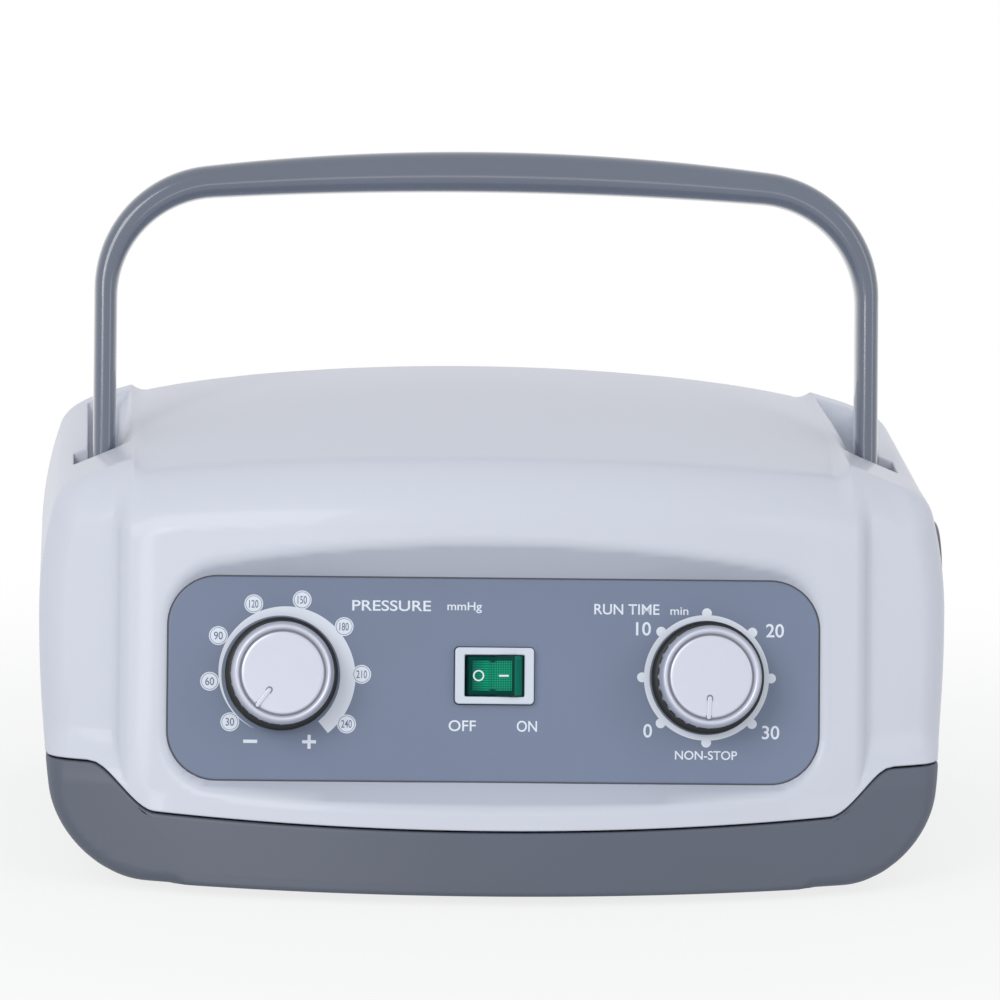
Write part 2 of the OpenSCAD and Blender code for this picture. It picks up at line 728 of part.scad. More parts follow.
// From the barb on top of the regulator, over in an arch and down onto a compressor head
module regulator_hose() {
    base = behind_panel(-dial_x, seat_back + regulator_l / 2);
    z0 = base[2] + regulator_d / 2 + 2;
    arch_z = nozzle_z + 3 + bend_r;
    color([0.9, 0.9, 0.88, 0.7]) translate([-dial_x, 0, 0]) {
        translate([0, base[1], z0]) hose_run(arch_z - bend_r - z0);
        translate([0, base[1], arch_z - bend_r]) rotate([0, 0, 90]) hose_bend(90);
        translate([0, base[1] + bend_r, arch_z]) rotate([-90, 0, 0]) hose_run(comp_y - base[1] - 2 * bend_r);
        translate([0, comp_y, arch_z - bend_r]) rotate([0, 0, -90]) hose_bend(90);
        translate([0, comp_y, nozzle_z - barb_l]) hose_run(arch_z - bend_r - nozzle_z + barb_l);
    }
}

module compressor_frame() {
    color([0.62, 0.64, 0.66]) translate([comp_x, comp_y, 0]) difference() {
        union() {
            translate([-frame_half, -frame_w / 2, base_z]) cube([2 * frame_half, frame_w, plate_t]);
            for (s = [-1, 1]) translate([s * (frame_half - plate_t / 2), 0, comp_z]) rotate([0, 90, 0])
                cylinder(d = head_d, h = plate_t, center = true);
            for (s = [-1, 1]) translate([s * (frame_half - plate_t / 2) - plate_t / 2, -18, base_z])
                cube([plate_t, 36, 14]);
        }
        translate([0, 0, comp_z]) rotate([0, 90, 0]) cylinder(d = 34, h = 4 * frame_half, center = true);
        for (x = [-1, 1], y = [-1, 1]) translate([x * (frame_half - 6), y * (frame_w / 2 - 6), base_z - 1])
            cylinder(d = 6, h = plate_t + 2);
        head_screw_spots() cylinder(d = 3, h = 40, center = true);
    }
}

module head_screw_spots() {
    for (s = [-1, 1], a = [45:90:315]) translate([s * frame_half, 0, comp_z]) rotate([a, 0, 0])
        translate([0, 0, head_d / 2 - 4]) rotate([0, 90 * s, 0]) children();
}

module compressor_cores() {
    color([0.5, 0.5, 0.52]) translate([comp_x, comp_y, base_z + plate_t]) for (s = [-1, 1])
        translate([-15, s * 17.5 - 7.5, 0]) difference() {
            cube([30, 15, 44]);
            for (z = [7, 25]) translate([-1, s > 0 ? -1 : 4, z]) cube([32, 12, 12]);
        }
}

module compressor_coils() {
    color([0.75, 0.42, 0.2]) translate([comp_x, comp_y, base_z + plate_t]) for (s = [-1, 1])
        translate([-19.5, s > 0 ? coil_y0 : -coil_y1, 7.4]) difference() {
            cube([39, coil_y1 - coil_y0, 29.2]);
            translate([4.3, -1, 11.4]) cube([30.4, 13, 6.4]);
        }
}

module compressor_armature() {
    color(steel) translate([comp_x, comp_y, comp_z]) {
        translate([-26, -2.5, -9]) cube([52, 5, 18]);
        for (x = [-10, 10]) translate([x - 5, -8, -8]) cube([10, 16, 16]);
        rotate([0, 90, 0]) cylinder(d = 5, h = 2 * frame_half, center = true);
        for (s = [-1, 1]) translate([s * (frame_half - 2.2), 0, 0]) rotate([0, 90, 0]) cylinder(d = 20, h = 3.6, center = true);
    }
}

module diaphragms() {
    color([0.15, 0.15, 0.15]) translate([comp_x, comp_y, comp_z]) for (s = [0, 1]) mirror([s, 0, 0])
        translate([frame_half, 0, 0]) rotate([0, 90, 0]) difference() {
            union() {
                cylinder(d = head_d, h = diaphragm_t);
                rotate_extrude() translate([13.5, diaphragm_t]) circle(1.5);
            }
            translate([0, 0, -5]) cylinder(d = 60, h = 5);
            rotate_extrude() translate([13.5, -0.4]) circle(1.2);
            for (a = [45:90:315]) rotate([0, 0, a]) translate([head_d / 2 - 4, 0, -1]) cylinder(d = 3, h = 10);
        }
}

module compressor_heads() {
    color([0.2, 0.2, 0.22]) translate([comp_x, comp_y, comp_z]) for (s = [0, 1]) mirror([s, 0, 0])
        difference() {
            union() {
                translate([frame_half + diaphragm_t, 0, 0]) rotate([0, 90, 0]) cylinder(d = head_d, h = head_l);
                translate([head_x, 0, head_d / 2 - 1]) cylinder(d = barb_d, h = nozzle_z - comp_z - head_d / 2 + 1);
            }
            translate([frame_half + diaphragm_t - 1, 0, 0]) rotate([0, 90, 0]) cylinder(d = 36, h = head_l - 2);
            translate([head_x, 0, 10]) cylinder(d = barb_d - 1.6, h = 40);
            for (a = [45:90:315]) rotate([a, 0, 0]) translate([frame_half, 0, head_d / 2 - 4]) rotate([0, 90, 0])
                cylinder(d = 3, h = 40);
        }
}

module head_screws() {
    len = plate_t + diaphragm_t + head_l;
    color(steel) translate([comp_x, comp_y, 0]) head_screw_spots() translate([0, 0, -plate_t]) {
        cylinder(d = 3, h = len);
        translate([0, 0, len]) cylinder(d = 5.6, h = 2);
    }
}

module compressor_mounts() {
    color([0.12, 0.12, 0.12]) for (x = [-1, 1], y = [-1, 1])
        translate([comp_x + x * (frame_half - 6), comp_y + y * (frame_w / 2 - 6), base_z - 5]) {
            cylinder(d = 9, h = 5);
            cylinder(d = 6, h = 5 + plate_t);
            translate([0, 0, 5 + plate_t]) cylinder(d = 9, h = 1.6);
        }
}

module valve_motor() {
    color(steel) translate([valve_x, outlet_y, motor_z0]) difference() {
        union() {
            cylinder(d = valve_d, h = motor_h - 2);
            cylinder(d = 12, h = motor_h);
        }
        translate([0, 0, motor_h - 6]) cylinder(d = 5 + 2 * run_gap, h = 8);
    }
}

module valve_body() {
    color([0.85, 0.85, 0.83]) translate([valve_x, outlet_y, valve_z0 - 2]) difference() {
        union() {
            cylinder(d = valve_d, h = cover_z0 - valve_z0 + 2);
            translate([0, -valve_d / 2 + 12, 0]) cube([valve_d / 2 + 1, valve_d - 24, cover_z0 - valve_z0 + 2]);
            for (k = [-1.5:1:1.5]) translate([valve_d / 2, k * outlet_pitch, valve_port_z - valve_z0 + 2])
                rotate([0, 90, 0]) cylinder(d = barb_d, h = barb_l + 1);
        }
        translate([0, 0, -1]) cylinder(d = 12.4, h = 3);
        translate([0, 0, rotor_z0 - valve_z0 + 1.6]) cylinder(d = rotor_d + 2 * move_gap, h = 20);
        cylinder(d = 5 + 2 * run_gap, h = 30);
        for (k = [-1.5:1:1.5]) translate([rotor_d / 2 - 6, k * outlet_pitch, valve_port_z - valve_z0 + 2])
            rotate([0, 90, 0]) cylinder(d = barb_d - 1.6, h = 40);
        valve_screw_spots() cylinder(d = 2.5, h = 40, center = true);
    }
}

module valve_screw_spots() {
    for (a = [45:90:315]) rotate([0, 0, a]) translate([valve_d / 2 - 2.6, 0, 0]) children();
}

module valve_rotor() {
    color([0.95, 0.95, 0.95]) translate([valve_x, outlet_y, 0]) difference() {
        union() {
            translate([0, 0, rotor_z0]) cylinder(d = rotor_d, h = rotor_t);
            translate([0, 0, valve_z0 - 6 + 0.4]) cylinder(d = 5, h = rotor_z0 - valve_z0 + 6);
        }
        translate([0, 0, rotor_z0 + 2]) rotate_extrude(angle = 110) translate([9, 0]) square([5, 10]);
    }
}

module valve_cover() {
    color([0.85, 0.85, 0.83]) translate([valve_x, outlet_y, cover_z0]) difference() {
        union() {
            cylinder(d = valve_d, h = cover_t);
            cylinder(d = barb_d, h = cover_t + barb_l);
        }
        translate([0, 0, -1]) cylinder(d = barb_d - 1.6, h = 30);
        valve_screw_spots() translate([0, 0, -1]) cylinder(d = 2.5, h = 10);
    }
}

module valve_screws() {
    color(steel) translate([valve_x, outlet_y, cover_z0]) valve_screw_spots() {
        translate([0, 0, -7]) cylinder(d = 2.5, h = 7 + cover_t);
        translate([0, 0, cover_t]) cylinder(d = 4.6, h = 1.8);
    }
}

module power_inlet() {
    color([0.12, 0.12, 0.13]) at_rear(inlet_x, inlet_z) difference() {
        union() {
            block(50, 24, 4, 0, flange_t);
            block(inlet_w, inlet_h, 3, -inlet_l, 0);
        }
        block(inlet_w - 3, inlet_h - 3, 2, -inlet_l + 2.5, 5);
        for (s = [-1, 1]) translate([s * 20, 0, -1]) cylinder(d = 3.2, h = 5);
        for (k = [-1:1]) translate([7 * k - 1, -2 + (k == 0 ? 3 : -1), -inlet_l - 1]) cube([2, 4, 5]);
    }
}

module inlet_pins() {
    color([0.8, 0.78, 0.7]) at_rear(inlet_x, inlet_z) for (k = [-1:1])
        translate([7 * k - 1, -2 + (k == 0 ? 3 : -1), -inlet_l - 7]) cube([2, 4, 7 + 17]);
}

module inlet_screws() {
    color(steel) at_rear(inlet_x, inlet_z) for (s = [-1, 1]) translate([s * 20, 0, 0]) {
        translate([0, 0, -8]) cylinder(d = 2.6, h = 8 + flange_t);
        translate([0, 0, flange_t]) cylinder(d = 5, h = 1.2);
    }
}

module board_spots() {
    for (x = [-1, 1], y = [-1, 1])
        translate([board_x + x * (board_w / 2 - 4), board_y + y * (board_dp / 2 - 4), 0]) children();
}

module circuit_board() {
    color([0.1, 0.4, 0.22]) difference() {
        translate([board_x, board_y, board_z]) translate([-board_w / 2, -board_dp / 2, 0])
            cube([board_w, board_dp, board_t]);
        board_spots() cylinder(d = 3, h = 40);
    }
}

module on_board(x, y) {
    translate([board_x + x, board_y + y, board_z + board_t]) children();
}

module board_transformer() {
    color([0.25, 0.25, 0.3]) on_board(-22, 0) difference() {
        union() {
            translate([-15, -7, 0]) cube([30, 14, 26]);
            translate([-10, -12, 3]) cube([20, 24, 20]);
        }
        for (s = [-1, 1]) translate([s * 13, 0, -1]) cylinder(d = 2, h = 40);
    }
}

module board_capacitors() {
    color([0.15, 0.2, 0.4]) {
        on_board(6, -6) cylinder(d = 12, h = 20);
        on_board(6, 8) cylinder(d = 10, h = 16);
    }
}

module board_relay() {
    color([0.15, 0.35, 0.6]) on_board(22, 3.5) translate([-7.5, -9.5, 0]) cube([15, 19, 15]);
}

module board_fuse() {
    color([0.8, 0.85, 0.85]) on_board(40, 6) {
        translate([-10, 0, 5]) rotate([0, 90, 0]) cylinder(d = 5, h = 20);
        for (x = [-9, 6]) translate([x, -2, 0]) cube([3, 4, 5]);
    }
}

module board_terminals() {
    color([0.1, 0.5, 0.3]) on_board(terminal_x, terminal_y) difference() {
        translate([-15, -4, 0]) cube([30, 8, 10]);
        for (k = [-2.5:1:2.5]) translate([k * 5 - 1.2, -5, 2.8]) cube([2.4, 6, 2.4]);
    }
}

module board_screws() {
    color(steel) board_spots() translate([0, 0, board_z - 5]) {
        cylinder(d = 2, h = 5 + board_t);
        translate([0, 0, 5 + board_t]) cylinder(d = 4.4, h = 1.5);
    }
}

// One square-cut wire along points that differ in one direction at a time
module wire(pts) {
    for (i = [0:len(pts) - 2]) {
        p = pts[i];
        q = pts[i + 1];
        translate([min(p[0], q[0]), min(p[1], q[1]), min(p[2], q[2])] - wire_d / 2 * [1, 1, 1])
            cube([abs(p[0] - q[0]), abs(p[1] - q[1]), abs(p[2] - q[2])] + wire_d * [1, 1, 1]);
    }
}

// A point at u across the panel and a depth behind its face, and a pole of the board's terminals
function behind_panel(u, depth) = [u, panel_y + depth * cos(lean), panel_z - depth * sin(lean)];
function pole(k) = [board_x + terminal_x + (k - 2.5) * 5, board_y + terminal_y - 2, board_z + board_t + 4];

module wire_harness() {
    low = floor_z + 4;
    near = 0.7 + wire_d / 2;
    color([0.2, 0.3, 0.7]) {
        // Inlet to the switch, along the left side and the front
        for (k = [0, 1]) let (x = inlet_x + 7 - 14 * k, y = boss_front + 16 + 4 * k, z = low + 3 * k,
                e = rear_y - inlet_l - 7 - wire_d / 2, p = behind_panel(-6 * k, switch_body_l + 8))
            wire([[x, e, inlet_z - 1], [x, e, z], [x, y, z], [p[0], y, z], [p[0], y, p[2]],
                p + [0, near, 0]]);
        // Timer to the board, between the valve and the compressor
        for (k = [0, 1]) let (p = behind_panel(dial_x - 7 + 14 * k, seat_back + timer_l + 7), y = p[1] + 10 - 4 * k,
                z = low + 3 * k, x = valve_x - 34 + 3 * k, q = pole(2 + k), e = q[1] - 8 - 4 * k)
            wire([p + [0, near, 0], [p[0], y, p[2]], [p[0], y, z], [x, y, z], [x, e, z], [x, e, q[2]],
                [q[0], e, q[2]], q]);
        // Board to the compressor's coil
        for (k = [0, 1]) let (q = pole(1 - k), x = comp_x + 17.2, y = q[1] - 4.5, z = comp_z - 8 - 6 * k)
            wire([q, [q[0], y, q[2]], [q[0], y, z], [x, y, z], [x, comp_y + coil_y1 + wire_d / 2, z]]);
        // Board to the valve's motor
        for (k = [0, 1]) let (q = pole(4 + k), x = valve_x - 4.5 + 9 * k, y = q[1] - 12 + 4 * k, z = motor_z0 + 8)
            wire([q, [q[0], y, q[2]], [q[0], y, z], [x, y, z], [x, outlet_y + valve_d / 2 - 0.2 + wire_d / 2, z]]);
    }
}

module filter_cover() {
    color(white) at_rear(filter_x, filter_z) difference() {
        union() {
            block(filter_w, filter_h, 3, 0, 1.8);
            block(filter_w - 6 - 2 * set_gap, filter_h - 6 - 2 * set_gap, 2, -wall, 0);
        }
        for (k = [-3:3]) translate([0, 2.8 * k, -5]) block(filter_w - 12, 1.4, 0.69, 0, 10);
    }
}

module intake_filter() {
    color([0.3, 0.3, 0.32]) at_rear(filter_x, filter_z) block(filter_w - 8, filter_h - 8, 2, -wall - 8, -wall);
}

module rubber_feet() {
    color([0.1, 0.1, 0.1]) foot_spots() {
        cylinder(d1 = foot_d - 2, d2 = foot_d, h = foot_h - 1);
        translate([0, 0, foot_h - 1]) cylinder(d = foot_d, h = 1 + 1.2);
    }
}

module housing_screws() {
    color(steel) screw_spots() translate([0, 0, foot_h + 7]) {
        cylinder(d = screw_d - 0.7, h = 22);
        translate([0, 0, -2.4]) cylinder(d = 6.6, h = 2.4);
    }
}

upper_housing();
lower_housing();
control_panel();
pressure_dial_skirt();
pressure_dial_cap();
pressure_spindle();
pressure_regulator();
timer_dial_skirt();
timer_dial_cap();
timer_spindle();
timer_unit();
spindle_nuts();
switch_frame();
switch_rocker();
switch_lamp();
switch_terminals();
handle();
handle_pivot_pins();
handle_friction_washers();
handle_spacers();
outlet_collar();
outlet_manifold();
outlet_hoses();
supply_hose();
regulator_hose();
compressor_frame();
compressor_coils();
compressor_cores();
compressor_armature();
diaphragms();
compressor_heads();
head_screws();
compressor_mounts();
valve_motor();
valve_body();
valve_rotor();
valve_cover();
valve_screws();
power_inlet();
inlet_pins();
inlet_screws();
circuit_board();
board_transformer();
board_capacitors();
board_relay();
board_fuse();
board_terminals();
board_screws();
wire_harness();
filter_cover();
intake_filter();
rubber_feet();
housing_screws();
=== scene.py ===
"""Looks of a table-top compression therapy pump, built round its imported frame.

Sizes are millimetres in the pump's own frame (front towards -Y, up +Z) and become metres when
a mesh is made.
"""
import json
import logging
import math
from dataclasses import dataclass, field
from enum import Enum

import bmesh
import bpy
import numpy as np
from mathutils import Matrix, Vector

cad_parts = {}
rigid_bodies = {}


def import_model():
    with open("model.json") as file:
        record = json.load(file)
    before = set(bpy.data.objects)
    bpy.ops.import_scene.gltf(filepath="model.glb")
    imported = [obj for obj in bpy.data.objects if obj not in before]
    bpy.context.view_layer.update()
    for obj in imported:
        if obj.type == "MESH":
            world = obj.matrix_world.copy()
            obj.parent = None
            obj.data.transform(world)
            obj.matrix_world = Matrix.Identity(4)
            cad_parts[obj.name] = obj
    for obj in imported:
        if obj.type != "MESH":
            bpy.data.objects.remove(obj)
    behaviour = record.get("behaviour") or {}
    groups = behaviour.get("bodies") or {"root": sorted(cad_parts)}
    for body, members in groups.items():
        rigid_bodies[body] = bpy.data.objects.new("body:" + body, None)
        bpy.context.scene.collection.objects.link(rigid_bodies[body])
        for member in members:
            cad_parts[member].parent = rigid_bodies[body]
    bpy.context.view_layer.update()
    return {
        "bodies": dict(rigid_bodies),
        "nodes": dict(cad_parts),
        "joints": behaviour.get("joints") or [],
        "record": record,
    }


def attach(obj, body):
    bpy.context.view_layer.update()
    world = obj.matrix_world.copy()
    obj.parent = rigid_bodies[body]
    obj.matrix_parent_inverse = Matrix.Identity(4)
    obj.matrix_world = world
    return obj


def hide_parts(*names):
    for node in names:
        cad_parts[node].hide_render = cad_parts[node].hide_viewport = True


Array = np.ndarray
MM = 0.001
POLE_R = 0.2
LOG = logging.getLogger("pump")


# ---------------------------------------------------------------- small helpers

def linear(red: int, green: int, blue: int) -> tuple[float, float, float, float]:
    """A screen colour (0 to 255) as linear light with full alpha."""
    values = (np.array([red, green, blue]) / 255.0)
    low = values / 12.92
    high = ((values + 0.055) / 1.055) ** 2.4
    return (*[float(v) for v in np.where(values <= 0.04045, low, high)], 1.0)


def round_max(a: Array, b: Array, r: float | Array) -> Array:
    """Meets two fields in an outer edge of radius r.

    Formula: min(-r, max(a, b)) + length of (a + r, b + r) where these are positive.

    Args:
        a, b: Fields, negative inside.
        r: Radius of the edge, one value or one for each point.

    Returns:
        The field of what lies inside both.
    """
    return np.minimum(-r, np.maximum(a, b)) + np.hypot(np.maximum(a + r, 0), np.maximum(b + r, 0))


def round_min(a: Array, b: Array, r: float | Array) -> Array:
    """Joins two fields with an inner fillet of radius r: the mirror image of round_max."""
    return -round_max(-a, -b, r)


def ease(t: Array) -> Array:
    """Smooth step: 3 t squared less 2 t cubed, held at 0 and 1 outside."""
    t = np.clip(t, 0, 1)
    return t * t * (3 - 2 * t)


def spread(*runs: tuple[float, float, float]) -> Array:
    """Joins runs of evenly spaced lines.

    Args:
        runs: For each run its start, its end and the widest step within it.

    Returns:
        Sorted places without doubles.
    """
    lines = [np.linspace(a, b, max(2, int(math.ceil((b - a) / step)) + 1)) for a, b, step in runs]
    return np.unique(np.round(np.concatenate(lines), 4))


def grid_faces(rows: int, cols: int, closed: bool = False, start: int = 0) -> Array:
    """Quads of a grid of vertices numbered row by row.

    Args:
        rows, cols: Size of the grid.
        closed: Whether the last column joins the first.
        start: Number of the first vertex.

    Returns:
        An array with four vertex numbers for each face.
    """
    c = np.arange(cols if closed else cols - 1)
    n = (c + 1) % cols
    r = np.arange(rows - 1)[:, None] * cols
    return start + np.stack([r + c, r + n, r + cols + n, r + cols + c], -1).reshape(-1, 4)


def strip_faces(lower: Array, upper: Array) -> Array:
    """Quads between two closed loops of the same count of vertex numbers."""
    return np.stack([lower, np.roll(lower, -1), np.roll(upper, -1), upper], -1)


def lidded(grid: Array) -> "Surface":
    """Closes the underside of a grid of points.

    Args:
        grid: Points by row and column, with h as the third number.

    Returns:
        The grid with a fan from its border to a point under its middle.
    """
    ny, nx = grid.shape[:2]
    number = np.arange(ny * nx).reshape(ny, nx)
    loop = np.concatenate([number[0, :-1], number[:-1, -1], number[-1, :0:-1], number[:0:-1, 0]])
    low = grid.reshape(-1, 3)[loop]
    middle = np.array([*low[:, :2].mean(0), low[:, 2].min()])
    fan = np.stack([np.roll(loop, -1), loop, np.full(len(loop), ny * nx)], -1)
    return Surface(np.vstack([grid.reshape(-1, 3), middle]), grid_faces(ny, nx), fan)


def put(name: str, data: bpy.types.ID) -> bpy.types.Object:
    """Makes an object of a mesh, curve, camera or lamp and links it into the scene."""
    holder = bpy.data.objects.new(name, data)
    bpy.context.scene.collection.objects.link(holder)
    return holder


@dataclass
class Surface:
    """Vertices in millimetres with quads and triangles that number them."""

    verts: Array
    quads: Array
    tris: Array = field(default_factory=lambda: np.zeros((0, 3), int))
    normals: Array | None = None

    def placed(self, place: "Place") -> "Surface":
        """Returns the surface moved from a place's own axes into the pump's frame."""
        return Surface(place.out(self.verts), self.quads, self.tris,
                       None if self.normals is None else place.turn(self.normals))

    def mesh(self, name: str) -> bpy.types.Mesh:
        """Makes a Blender mesh in metres.

        Args:
            name: Name of the mesh.

        Returns:
            The mesh, smooth, with the surface's own normals where it has them.
        """
        mesh = bpy.data.meshes.new(name)
        mesh.vertices.add(len(self.verts))
        mesh.vertices.foreach_set("co", (self.verts * MM).astype(np.float32).ravel())
        loops = np.concatenate([self.quads.ravel(), self.tris.ravel()]).astype(np.int32)
        starts = np.concatenate([4 * np.arange(len(self.quads)),
                                 4 * len(self.quads) + 3 * np.arange(len(self.tris))]).astype(np.int32)
        mesh.loops.add(len(loops))
        mesh.loops.foreach_set("vertex_index", loops)
        mesh.polygons.add(len(starts))
        mesh.polygons.foreach_set("loop_start", starts)
        mesh.polygons.foreach_set("use_smooth", np.ones(len(starts), bool))
        mesh.update(calc_edges=True)
        mesh.validate()
        if self.normals is not None:
            mesh.normals_split_custom_set_from_vertices(self.normals.astype(np.float32))
        return mesh


@dataclass(frozen=True)
class Place:
    """Axes of a sub-assembly: a point and the directions of its own u, w and h."""

    origin: tuple[float, float, float]
    u: tuple[float, float, float]
    w: tuple[float, float, float]
    h: tuple[float, float, float]

    @classmethod
    def leaning(cls, origin: tuple[float, float, float], lean: float) -> "Place":
        """Returns axes at a point, facing the front and leaning back by an angle."""
        s, c = math.sin(lean), math.cos(lean)
        return cls(origin, (1, 0, 0), (0, s, c), (0, -c, s))

    def turn(self, vectors: Array) -> Array:
        """Turns vectors from the own axes into the pump's frame."""
        return vectors @ np.array([self.u, self.w, self.h])

    def out(self, points: Array) -> Array:
        """Moves points from the own axes into the pump's frame."""
        return self.turn(points) + np.array(self.origin)

    def inside(self, points: Array) -> Array:
        """Gives points of the pump's frame in the own axes."""
        return (points - np.array(self.origin)) @ np.array([self.u, self.w, self.h]).T

    def shifted(self, u: float, w: float, h: float = 0.0) -> "Place":
        """Returns the same axes at another point, given in the own axes."""
        return Place(tuple(self.out(np.array([u, w, h], float))), self.u, self.w, self.h)

    def spun(self, degrees: float) -> "Place":
        """Returns the axes turned about h, from u towards w."""
        c, s = math.cos(math.radians(degrees)), math.sin(math.radians(degrees))
        u, w = np.array(self.u), np.array(self.w)
        return Place(self.origin, tuple(c * u + s * w), tuple(c * w - s * u), self.h)

    def tilted(self, degrees: float) -> "Place":
        """Returns the axes turned about w, so that u rises towards h."""
        c, s = math.cos(math.radians(degrees)), math.sin(math.radians(degrees))
        u, h = np.array(self.u), np.array(self.h)
        return Place(self.origin, tuple(c * u + s * h), self.w, tuple(c * h - s * u))


LEVEL = Place((0, 0, 0), (1, 0, 0), (0, 1, 0), (0, 0, 1))


# ---------------------------------------------------------------- finishes

class Pattern(Enum):
    """Fine structure that a finish carries."""

    GRAIN = "moulded grain"
    BRUSHED = "fine lines along one axis"
    WINDING = "turns of wire under tape"
    LAYERS = "stacked sheet"
    TRACES = "tracks on a board"
    FOAM = "open cells"


CLOUD_SCALE = 14.0
BANDS = {Pattern.WINDING: "X", Pattern.LAYERS: "Y", Pattern.TRACES: "DIAGONAL"}


@dataclass(frozen=True)
class Graph:
    """Shorthand for the nodes of a material or a world."""

    tree: bpy.types.NodeTree

    def fill(self, node: bpy.types.Node, inputs: dict) -> None:
        """Sets a node's inputs, by name or number, to constants or joins them to outputs."""
        for key, value in inputs.items():
            if isinstance(value, bpy.types.NodeSocket):
                self.tree.links.new(value, node.inputs[key])
            else:
                node.inputs[key].default_value = value

    def add(self, kind: str, inputs: dict, out: str | int = 0, **options: str) -> bpy.types.NodeSocket:
        """Adds a node.

        Args:
            kind: Its type, without the leading ShaderNode.
            inputs: Constants or outputs for its inputs.
            out: Name or number of the output wanted.
            options: Its other settings.

        Returns:
            The output.
        """
        node = self.tree.nodes.new("ShaderNode" + kind)
        for name, value in options.items():
            setattr(node, name, value)
        self.fill(node, inputs)
        return node.outputs[out]


@dataclass(frozen=True)
class Finish:
    """A procedural finish: tone with faint clouds, gloss and fine relief."""

    name: str
    tone: tuple[float, float, float, float]
    rough: float = 0.5
    metal: float = 0.0
    coat: float = 0.0
    coat_rough: float = 0.05
    pattern: Pattern = Pattern.GRAIN
    scale: float = 1500.0
    relief: float = 0.01
    clouds: float = 0.03
    gloss_drift: float = 0.04
    clear: float = 0.0
    specular: float = 0.5

    def material(self) -> bpy.types.Material:
        """Builds the material once and returns it each time."""
        found = bpy.data.materials.get(self.name)
        if found is not None:
            return found
        made = bpy.data.materials.new(self.name)
        made.use_nodes = True
        graph = Graph(made.node_tree)
        spot = graph.add("TexCoord", {}, "Object")
        cloud = self._noise(graph, spot, CLOUD_SCALE, 3.0)
        low = max(self.rough - self.gloss_drift, 0.02)
        gloss = graph.add("MapRange", {"From Min": 0.3, "From Max": 0.7, "To Min": low,
                                       "To Max": self.rough + self.gloss_drift, "Value": cloud})
        height = self._relief(graph, spot)
        bump = graph.add("Bump", {"Strength": 0.6, "Distance": self.relief * MM, "Height": height}, "Normal")
        graph.fill(made.node_tree.nodes["Principled BSDF"], {
            "Metallic": self.metal, "Coat Weight": self.coat, "Coat Roughness": self.coat_rough,
            "Transmission Weight": self.clear, "Specular IOR Level": self.specular,
            "Base Color": self._tones(graph, cloud), "Roughness": gloss, "Normal": bump})
        return made

    def _noise(self, graph: Graph, spot: bpy.types.NodeSocket, scale: float,
               detail: float) -> bpy.types.NodeSocket:
        """Returns a noise over a coordinate, with a scale in features for each metre."""
        return graph.add("TexNoise", {"Scale": scale, "Detail": detail, "Vector": spot}, "Fac")

    def _tones(self, graph: Graph, value: bpy.types.NodeSocket) -> bpy.types.NodeSocket:
        """Returns the tone, a little darker and lighter in soft clouds."""
        ramp = graph.tree.nodes.new("ShaderNodeValToRGB")
        ends = zip(ramp.color_ramp.elements, (0.35, 0.65), (1 - self.clouds, 1 + self.clouds))
        for element, position, factor in ends:
            element.position = position
            element.color = (*np.clip(np.array(self.tone[:3]) * factor, 0, 1), 1)
        graph.fill(ramp, {"Fac": value})
        return ramp.outputs["Color"]

    def _relief(self, graph: Graph, spot: bpy.types.NodeSocket) -> bpy.types.NodeSocket:
        """Returns the height that the pattern gives the surface."""
        if self.pattern in BANDS:
            wobble = 3.0 if self.pattern is Pattern.TRACES else 0.3
            inputs = {"Scale": self.scale / 6.3, "Distortion": wobble, "Vector": spot}
            return graph.add("TexWave", inputs, "Fac", bands_direction=BANDS[self.pattern])
        if self.pattern is Pattern.FOAM:
            return graph.add("TexVoronoi", {"Scale": self.scale, "Vector": spot}, "Distance")
        if self.pattern is Pattern.BRUSHED:
            stretched = graph.add("Mapping", {"Scale": (0.03, 1.0, 1.0), "Vector": spot})
            return self._noise(graph, stretched, self.scale, 2.0)
        return self._noise(graph, spot, self.scale, 3.0)


@dataclass(frozen=True)
class PaintedGlowLensFinish(Finish):
    """Green lens with a painted glow that is brightest round a point, and painted highlights on the crests of
    its dots.
    """

    # Centre and reach of the painted glow, in metres, and the tone that it paints.
    centre: tuple[float, float, float] = (0.0025, -0.064, 0.057)
    reach: float = 0.0095
    painted_light_tone: tuple[float, float, float, float] = linear(10, 235, 175)

    def _tones(self, graph: Graph, value: bpy.types.NodeSocket) -> bpy.types.NodeSocket:
        """Returns the tone, turning to the painted glow's tone near the centre and on the crests."""
        base = super()._tones(graph, value)
        spot = graph.add("TexCoord", {}, "Object")
        near = graph.add("Mapping", {"Location": tuple(-v / self.reach for v in self.centre),
                                     "Scale": (1 / self.reach,) * 3, "Vector": spot})
        painted_glow = graph.add("TexGradient", {"Vector": near}, "Fac", gradient_type="SPHERICAL")
        crest = graph.add("Attribute", {}, "Fac", attribute_name="crest")
        amount = graph.add("Math", {0: painted_glow, 1: crest}, operation="MULTIPLY")
        return graph.add("Mix", {"Factor": amount, 6: base, 7: self.painted_light_tone}, 2, data_type="RGBA")


WHITE = Finish("gloss_white_shell", linear(212, 215, 226), rough=0.4, coat=0.2, coat_rough=0.06, scale=900,
               relief=0.003, clouds=0.008, gloss_drift=0.01, specular=0.32)
TRAY = Finish("satin_grey_tray", linear(89, 95, 109), rough=0.46, scale=2600, relief=0.02, clouds=0.03)
SLATE = Finish("satin_slate_panel", linear(118, 130, 154), rough=0.42, scale=2400, relief=0.012, clouds=0.03)
PRINT = Finish("white_print", linear(232, 238, 248), rough=0.5, scale=3000, relief=0.004, clouds=0.02)
PRINT_DARK = Finish("slate_print", linear(104, 116, 142), rough=0.5, scale=3000, relief=0.004, clouds=0.02)
HANDLE = Finish("gloss_slate_handle", linear(93, 101, 118), rough=0.22, coat=0.9, coat_rough=0.04, scale=700,
                relief=0.012, clouds=0.04)
SKIRT = Finish("black_dial_skirt", linear(11, 12, 15), rough=0.45, scale=2000, relief=0.01, clouds=0.1)
